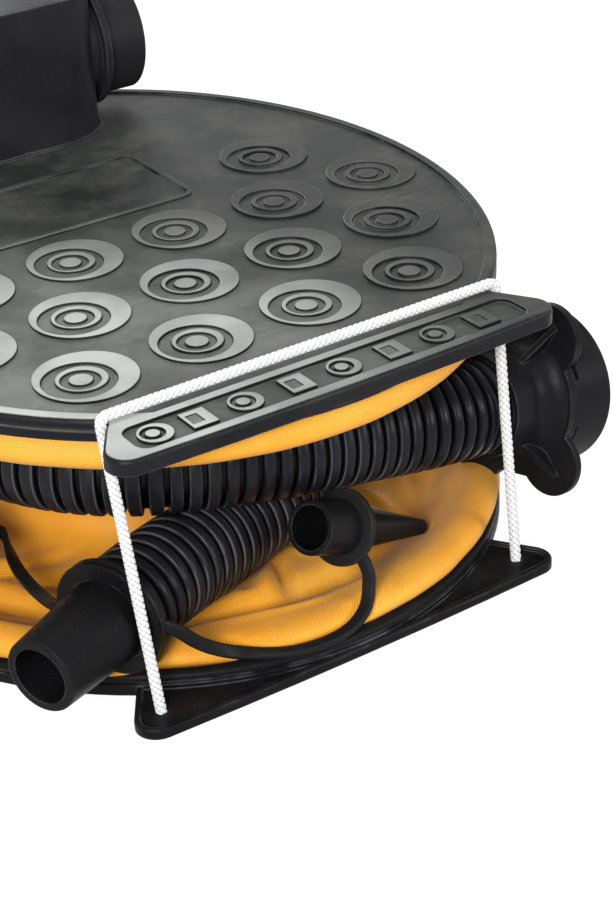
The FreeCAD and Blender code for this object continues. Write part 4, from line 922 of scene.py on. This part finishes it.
def folds(angle, radius, seed, slackness):
    """How far the cloth stands out of its smooth shape: slack waves, puckers at the rim,
    and creases that run in from the rim towards the waist."""
    chance = np.random.default_rng(seed)
    out = np.zeros_like(radius)
    slack = bump_between(radius, 80 * MM, 118 * MM, 15 * MM) * slackness
    for waves, size in ((3, 0.7), (5, 0.6), (8, 0.45), (13, 0.3)):
        out += slack * size * MM * np.sin(waves * angle + chance.uniform(0, 6.28)
                                          + 14 * (radius - 0.1))
    rim = bump_between(radius, 128 * MM, 139 * MM, 8 * MM) * slackness
    for waves, size in ((4, 0.30), (29, 0.10), (43, 0.08)):
        drift = 0.6 * np.sin(3 * angle + chance.uniform(0, 6.28))
        out += rim * size * MM * np.sin(waves * angle + chance.uniform(0, 6.28) + drift)
    for _ in range(26):
        middle = chance.uniform(-math.pi, math.pi)
        lean = chance.uniform(-9, 9)
        width = chance.uniform(0.018, 0.045)
        depth = chance.uniform(0.5, 1.7) * MM * slackness
        low = chance.uniform(66, 92) * MM
        reach = chance.uniform(10, 24) * MM
        off = (angle - middle - lean * (radius - 0.1) + math.pi) % (2 * math.pi) - math.pi
        valley = np.exp(-(off / width) ** 2) - 0.55 * np.exp(-((np.abs(off) - 2 * width)
                                                              / width) ** 2)
        out -= depth * valley * bump_between(radius, low, low + reach, 12 * MM)
    return out


def crease(x, y, height, start_x, start_y, end_x, end_y, depth, half_width):
    """Presses one soft valley, with a swell along each side, between two places."""
    start = np.array([start_x, start_y]) * MM
    run = np.array([end_x, end_y]) * MM - start
    share = ((x - start[0]) * run[0] + (y - start[1]) * run[1]) / (run @ run)
    held = np.clip(share, 0, 1)
    away = np.hypot(x - start[0] - held * run[0], y - start[1] - held * run[1])
    width = half_width * MM
    valley = np.exp(-(away / width) ** 2) - 0.4 * np.exp(-((away - 2.2 * width) / width) ** 2)
    fade = bump_between(share, 0.12, 0.88, 0.45)
    return height - depth * MM * valley * fade


def soft_lower(height, limit, soft=1.2 * MM):
    """The lower of two heights, with the corner between them rounded."""
    share = np.clip(0.5 + 0.5 * (limit - height) / soft, 0, 1)
    return limit * (1 - share) + height * share - soft * share * (1 - share)


def pressed(points, line, radius, gap):
    """Holds the cloth under a round thing that lies on it: each point stays outside a
    trough as wide as the round thing there, which has one radius or one at each point."""
    radii = np.full(len(line), radius)[None, :]
    out_of_reach = 9.0                  # metres up, so it presses nothing
    batch = 4000                        # points at a time, to spare memory
    for start in range(0, len(points), batch):
        part = points[start:start + batch]
        away = part[:, None, :2] - line[None, :, :2]
        square = (away ** 2).sum(2)
        edge = line[None, :, 2] - (radii - square / (2 * radii))
        edge = np.where(square < (2.2 * radii) ** 2, edge - gap, out_of_reach)
        part[:, 2] = soft_lower(part[:, 2], edge.min(1))


def cloth_half(profile, seed, upper):
    """One half of the bellows, rows of points from hem to waist, each row an oval."""
    line = smooth_profile(profile)
    step = np.gradient(line, axis=0)
    step /= np.linalg.norm(step, axis=1)[:, None]
    angle = np.linspace(-math.pi, math.pi, CLOTH_COLUMNS, endpoint=False)
    radius = np.repeat(line[:, :1], CLOTH_COLUMNS, axis=1)
    height = np.repeat(line[:, 1:], CLOTH_COLUMNS, axis=1)
    turned = np.repeat(angle[None, :], CLOTH_ROWS, axis=0)
    out = folds(turned, radius, seed, 0.35 if upper else 1.0)
    radius = radius + out * step[:, 1:]
    height = height - out * step[:, :1]
    if not upper:
        off = (radius * np.cos(turned) - TUCK_MIDDLE) / TUCK_HALF_WIDTH
        tucked = np.exp(-off ** 2) * (np.sin(turned) < 0)
        rim = bump_between(radius, 126 * MM, 140 * MM, 8 * MM)
        radius = radius - TUCK_IN * tucked * rim
        height = height - TUCK_DOWN * tucked * rim * (height > 5 * MM)
    x = radius * np.cos(turned)
    y = radius * OVAL * np.sin(turned)
    if upper:
        y, z = tilted(y, -PEDAL_SKIN - height)
    else:
        for place in CREASES:
            height = crease(x, y, height, *place)
        z = BASE_FLOOR + height
    return np.stack([x, y, z], axis=2)


def straight(start, axis, length):
    step = 2 * MM
    at = np.arange(0, length + step, step)
    return np.array(start)[None] + at[:, None] * np.array(axis)[None]


def laid_on_cloth():
    """What lies on the lower cloth, in the order it presses: a line of points, the radius
    round it and the gap that the cloth keeps."""
    flange = straight(NOZZLE_FLANGE - NOZZLE_AXIS * 2 * MM, NOZZLE_AXIS, 6 * MM)
    spout = straight(NOZZLE_FLANGE - NOZZLE_AXIS * 36 * MM, NOZZLE_AXIS, 34 * MM)
    tip = straight(*RIGHT_ADAPTER, 71 * MM)
    tip_radius = np.interp(np.arange(len(tip)), [0, 12, len(tip) - 1],
                           [9.9 * MM, 9.0 * MM, 3.0 * MM])
    turns = np.array(RIGHT_TETHER) * MM
    band = np.vstack([np.linspace(a, b, 8) for a, b in zip(turns, turns[1:])])
    return ((HOSE_LINE[::5], HOSE_RADIUS, CLOTH_GAP), (flange, NOZZLE_FLANGE_RADIUS, CLOTH_GAP),
            (spout, 15.5 * MM, CLOTH_GAP), (tip, tip_radius, CLOTH_GAP),
            (band, 2.6 * MM, 0.2 * MM))


def bellows():
    """Both halves in one cloth, hem to hem, with the hose and nozzle lying on the lower."""
    lower = cloth_half(LOWER_PROFILE, 11, False)
    upper = cloth_half(UPPER_PROFILE, 23, True)[::-1]
    for line, radius, gap in laid_on_cloth():
        pressed(lower.reshape(-1, 3), line, radius, gap)
    grid = np.vstack([lower, upper])
    up = distance_along(grid[:, 0])
    width = 2 * math.pi * CLOTH_MEAN_RADIUS / CLOTH_COLUMNS
    cloth = mesh_piece("bellows", grid.reshape(-1, 3), ring_faces(len(grid), CLOTH_COLUMNS),
                       ring_uv(up, CLOTH_COLUMNS, width))
    thick = cloth.modifiers.new("thickness", "SOLIDIFY")
    thick.thickness = CLOTH_THICKNESS
    thick.offset = -1.0
    apply_modifiers(cloth)
    smooth_all_over(cloth)
    dress(cloth, BELLOWS_CLOTH)
    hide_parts("lower_bellows", "upper_bellows")
    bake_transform(cloth)


# ------------------------------------------------------------ tethers
RING_THICKNESS = 2.8 * MM
RING_WIDTH = 5.0 * MM
RING_EDGE = 0.7 * MM                # how far its outer edges are rounded
GRIP = 0.9 * MM                     # how much smaller than its adapter a ring is, all round


def rim_direction(axis, degrees):
    """Across an axis: 0 degrees is up, 90 degrees is towards the front."""
    side = Vector((0, 0, 1)).cross(axis).normalized()
    up = axis.cross(side)
    turn = math.radians(degrees)
    return up * math.cos(turn) - side * math.sin(turn)


def turned_ring(at, axis, inner, outer, low, high):
    """A flat rubber ring with rounded outer edges, turned round an axis."""
    soft, corner = RING_EDGE, RING_EDGE * 0.3
    profile = [(inner, low), (outer - soft, low), (outer - corner, low + corner),
               (outer, low + soft), (outer, high - soft), (outer - corner, high - corner),
               (outer - soft, high), (inner, high)]
    count = len(profile)
    ring = mesh_piece("ring", [(r, 0, z) for r, z in profile], [],
                      edges=[(k, (k + 1) % count) for k in range(count)])
    edit_all(ring)
    bpy.ops.mesh.spin(steps=64, angle=2 * math.pi, center=(0, 0, 0), axis=(0, 0, 1))
    bpy.ops.mesh.select_all(action="SELECT")
    bpy.ops.mesh.remove_doubles(threshold=MERGE_DISTANCE)
    bpy.ops.mesh.normals_make_consistent(inside=False)
    leave_edit()
    turn = Vector((0, 0, 1)).rotation_difference(Vector(axis)).to_matrix().to_4x4()
    ring.data.transform(Matrix.Translation(at) @ turn)
    return ring


def strap_section():
    """Half-round edges on a flat band: pairs across and through it."""
    half = STRAP_WIDTH / 2
    thick = STRAP_THICKNESS / 2
    corner = 0.8 * MM
    section = []
    for x, z, start in ((1, 1, 0), (-1, 1, 90), (-1, -1, 180), (1, -1, 270)):
        for degrees in (0, 30, 60, 90):
            turn = math.radians(start + degrees)
            section.append((x * (half - corner) + corner * math.cos(turn),
                            z * (thick - corner) + corner * math.sin(turn)))
    return section


def strap(route, start_face, end_face):
    """A flat band along the route: level midway, turned to a given face at each end."""
    line, _ = line_of(route, 1.5 * MM)
    heading = headings_of(line)
    sides, ups = carried_frames(line, start_face)

    def turn_to(index, wanted):
        flat = np.array(wanted) - heading[index] * (np.array(wanted) @ heading[index])
        return math.atan2(flat @ ups[index], flat @ sides[index])

    last = len(line) - 1
    middle = len(line) // 2
    half_way = turn_to(middle, (0, 0, 1))
    at_end = turn_to(last, end_face)
    at_end += 2 * math.pi * round((half_way - at_end) / (2 * math.pi))
    section = strap_section()
    points = []
    for index in range(len(line)):
        if index <= middle:
            turn = half_way * eased(index / middle)
        else:
            turn = half_way + (at_end - half_way) * eased((index - middle) / (last - middle))
        face = sides[index] * math.cos(turn) + ups[index] * math.sin(turn)
        across = np.cross(heading[index], face)
        points += [line[index] + across * x + face * z for x, z in section]
    faces = ring_faces(len(line), len(section)) + end_faces(len(line), len(section))
    band = mesh_piece("strap", points, faces)
    edit_all(band)
    bpy.ops.mesh.normals_make_consistent(inside=False)
    leave_edit()
    return band


def tether(route, collar_angle, ring_angle, end_side, mouth, ring_at, place, axis):
    """The ring round one adapter and the strap that joins it to the nozzle's collar."""
    collar_out = rim_direction(NOZZLE_AXIS, collar_angle)
    start = NOZZLE_FLANGE + NOZZLE_AXIS * 2.6 * MM
    start = start + collar_out * (NOZZLE_FLANGE_RADIUS - STRAP_THICKNESS)
    low = ring_at + 0.2 * MM
    inner = mouth - GRIP
    ring = turned_ring(place, axis, inner, inner + RING_WIDTH, low, low + RING_THICKNESS)
    out = rim_direction(axis, ring_angle)
    end = place + axis * (low + RING_THICKNESS / 2) + out * (inner + STRAP_THICKNESS)
    points = [start, start + collar_out * STRAP_WIDTH * 1.2]
    points += [Vector(point) * MM for point in route]
    points += [end + out * STRAP_WIDTH * 1.4, end]
    return [ring, strap(points, -NOZZLE_AXIS, axis * end_side)]


def tether_straps():
    parts = [turned_ring(NOZZLE_FLANGE, NOZZLE_AXIS, 15.4 * MM, NOZZLE_FLANGE_RADIUS,
                         1.2 * MM, 4.0 * MM)]
    parts += tether(RIGHT_TETHER, 84, 125, -1, 9.9 * MM, 18 * MM, *RIGHT_ADAPTER)
    parts += tether(LEFT_TETHER, 262, 98, 1, 9.0 * MM, 14 * MM, *LEFT_ADAPTER)
    straps = joined(parts, "tethers")
    smooth_by_angle(straps, 40)
    dress(straps, TETHER_RUBBER, "base")
    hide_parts("tether_straps")


bellows()
tether_straps()


# ------------------------------------------------------------ return spring
def return_spring():
    """The steel coil inside the bellows, a fixed copy of the CAD's spring; the real one lengthens
    as the pedal opens.
    """
    coil = frame["nodes"]["return_spring"].copy()
    coil.data = coil.data.copy()
    coil.name = "coil_spring"
    coil.parent = None
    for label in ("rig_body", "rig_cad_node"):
        del coil[label]
    bpy.context.collection.objects.link(coil)
    edit_all(coil)
    bpy.ops.mesh.remove_doubles(threshold=MERGE_DISTANCE)
    leave_edit()
    dress(coil, ZINC_STEEL)
    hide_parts("return_spring")
    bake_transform(coil)


return_spring()


# ------------------------------------------------------------ the pedal's tread
PAD_RADIUS = 18.2 * MM
PAD_PITCH_X = 45.3 * MM
PAD_PITCH_Y = 42.0 * MM
PAD_ROW_SHIFT = 21.0 * MM
FIRST_PAD = (-22.6 * MM, -102.0 * MM)
TREAD_HALF = (138.5 * MM, 160.5 * MM)
PAD_MARGIN = 23.0 * MM
PAD_CLEARANCE = 3 * MM
LABEL_LOW = (-80 * MM, 8 * MM)
LABEL_HIGH = (44 * MM, 62 * MM)
HOUSING_FRONT = 84 * MM
BAR_RELIEF = 1.25 * MM              # height of the row in the front bar's well
BLOCKS_AT = (-53, -15, 24, 62)      # millimetres along X
RINGS_AT = (-69, -35, 4, 43)
SEAT = 0.02 * MM                    # how far raised pieces reach into the plastic under them


def ring_pad():
    """A raised ring, broad on one side, round a narrower ring with a stud in the middle."""
    height = 1.0 * MM
    pad = round_block(PAD_RADIUS, height, 72)
    step_top(pad, height, [(5.2, -3.3, -1.5, 0.95), (4.0, 1.3, 0.6, -0.95),
                           (2.0, -0.8, -0.5, 0.95), (2.9, 0.3, 0.2, -0.95)])
    return rounded_over(pad, 0.2 * MM, 2)


def pad_places():
    """Staggered rows of pads, clear of the rim, the label's frame and the housing."""
    places = []
    beside = PAD_CLEARANCE + PAD_RADIUS
    for row in range(6):
        y = FIRST_PAD[1] + row * PAD_PITCH_Y
        for column in range(-5, 6):
            x = FIRST_PAD[0] + row * PAD_ROW_SHIFT + column * PAD_PITCH_X
            out = ((x / (TREAD_HALF[0] - PAD_MARGIN)) ** 2
                   + (y / (TREAD_HALF[1] - PAD_MARGIN)) ** 2)
            on_label = (LABEL_LOW[0] - beside < x < LABEL_HIGH[0] + beside
                        and LABEL_LOW[1] - beside < y < LABEL_HIGH[1] + beside)
            if out < 1 and not on_label and y < HOUSING_FRONT - beside:
                places.append(pedal_matrix(x, y, -TREAD_DEPTH - SEAT))
    return places


def label_frame():
    """A blank raised frame where a label would go."""
    size = [LABEL_HIGH[k] - LABEL_LOW[k] for k in (0, 1)]
    middle = [(LABEL_HIGH[k] + LABEL_LOW[k]) / 2 for k in (0, 1)]
    height = 0.7 * MM
    panel = square_block(*size, height)
    panel.name = "label_frame"
    corners = panel.modifiers.new("corners", "BEVEL")
    corners.width = 6 * MM
    corners.segments = 6
    corners.limit_method = "WEIGHT"
    upright = panel.data.attributes.new("bevel_weight_edge", "FLOAT", "EDGE")
    for edge in panel.data.edges:
        ends = [panel.data.vertices[k].co for k in edge.vertices]
        upright.data[edge.index].value = float(abs(ends[0].z - ends[1].z) > height / 2)
    apply_modifiers(panel)
    step_top(panel, height, [(2.2, 0, 0, 0.9)])
    rounded_over(panel, 0.2 * MM, 2)
    panel.data.transform(pedal_matrix(*middle, -TREAD_DEPTH - SEAT))
    return panel


def bar_block():
    """A low block of the row in the front bar's well, hollowed along one side."""
    block = square_block(9.5 * MM, 11.0 * MM, BAR_RELIEF)
    step_top(block, BAR_RELIEF, [(2.6, -1.3, 0, 0.32)])
    return rounded_over(block, 0.45 * MM, 3)


def bar_ring():
    """A low ring with a stud, for every other place in the row."""
    ring = round_block(6.2 * MM, BAR_RELIEF, 48)
    step_top(ring, BAR_RELIEF, [(2.0, -0.8, 0.3, 0.9), (1.7, 0, 0, -0.9)])
    return rounded_over(ring, 0.25 * MM, 3)


def tread_pattern():
    well_middle = FRONT_EDGE + sum(BAR_FRAME) / 2

    def in_well(places):
        return [pedal_matrix(x * MM, well_middle, -BAR_WELL_DEPTH - SEAT) for x in places]

    pads = copies(ring_pad(), pad_places(), "tread_pads")
    blocks = copies(bar_block(), in_well(BLOCKS_AT), "bar_blocks")
    rings = copies(bar_ring(), in_well(RINGS_AT), "bar_rings")
    for piece in (pads, blocks, rings, label_frame()):
        smooth_by_angle(piece, 20)
        dress(piece, TREAD_PLASTIC, "pedal")


tread_pattern()


# ------------------------------------------------------------ floor, light and camera
def seen_white(tree):
    """1 for what the camera sees, straight, in gloss or through something clear."""
    path = add(tree, "ShaderNodeLightPath")
    seen = reckon(tree, "MAXIMUM", path.outputs["Is Camera Ray"], path.outputs["Is Glossy Ray"])
    return reckon(tree, "MAXIMUM", seen, path.outputs["Is Transmission Ray"])


def floor():
    """A pale floor, which looks white and keeps the pump's shadow."""
    bpy.ops.object.select_all(action="DESELECT")
    bpy.ops.mesh.primitive_plane_add(size=8, location=(0, 0, 0))
    plane = bpy.context.active_object
    plane.name = "floor"
    material, tree, bsdf = begin_finish(
        "pale_floor", Base_Color=(0.28, 0.28, 0.28, 1.0), Specular_IOR_Level=0.1, Roughness=0.8)
    glow = add(tree, "ShaderNodeEmission", {
        "Color": (1, 1, 1, 1), "Strength": reckon(tree, "MULTIPLY", seen_white(tree), 0.84)})
    both = add(tree, "ShaderNodeAddShader", {0: bsdf.outputs[0], 1: glow.outputs[0]})
    tree.links.new(both.outputs[0], tree.nodes["Material Output"].inputs["Surface"])
    plane.data.materials.append(material)


def world_light():
    """Soft light all round, and a white background."""
    world = bpy.data.worlds.new("studio")
    bpy.context.scene.world = world
    world.use_nodes = True
    tree = world.node_tree
    strength = remap(tree, seen_white(tree), 0.0, 1.0, 0.30, 1.0, smooth=False)
    feed(tree, tree.nodes["Background"], {"Color": (1, 1, 1, 1), "Strength": strength})


def lamp(name, place, target, size, power):
    bpy.ops.object.select_all(action="DESELECT")
    heading = (Vector(target) - Vector(place)).to_track_quat("-Z", "Y").to_euler()
    bpy.ops.object.light_add(type="AREA", location=place, rotation=heading)
    light = bpy.context.active_object
    light.name = name
    light.data.shape = "RECTANGLE"
    light.data.size, light.data.size_y = size
    light.data.energy = power


CAMERA_PLACE = (-0.33764, -0.65661, 0.40601)
CAMERA_TURN = (61.3474, 3.1406, -34.3152)       # degrees
CAMERA_LENS = 79.96                             # millimetres
CAMERA_SENSOR = 36.0


def camera():
    bpy.ops.object.select_all(action="DESELECT")
    turn = [math.radians(angle) for angle in CAMERA_TURN]
    bpy.ops.object.camera_add(location=CAMERA_PLACE, rotation=turn)
    eye = bpy.context.active_object
    eye.data.lens = CAMERA_LENS
    eye.data.sensor_width = CAMERA_SENSOR
    eye.data.clip_start = 0.01
    bpy.context.scene.camera = eye


floor()
world_light()
lamp("overhead_softbox", (-0.10, 0.10, 1.25), (0, 0, 0.05), (0.8, 0.6), 9.0)
lamp("front_softbox", (-0.95, -1.05, 0.70), (0, -0.08, 0.04), (0.7, 0.4), 24.0)
lamp("right_softbox", (0.75, -1.15, 0.50), (0.03, -0.10, 0.03), (0.5, 0.4), 8.0)
lamp("back_softbox", (0.30, 1.25, 0.72), (-0.05, -0.05, 0.10), (0.4, 0.3), 4.0)
camera()
bpy.context.scene.view_settings.view_transform = "Standard"
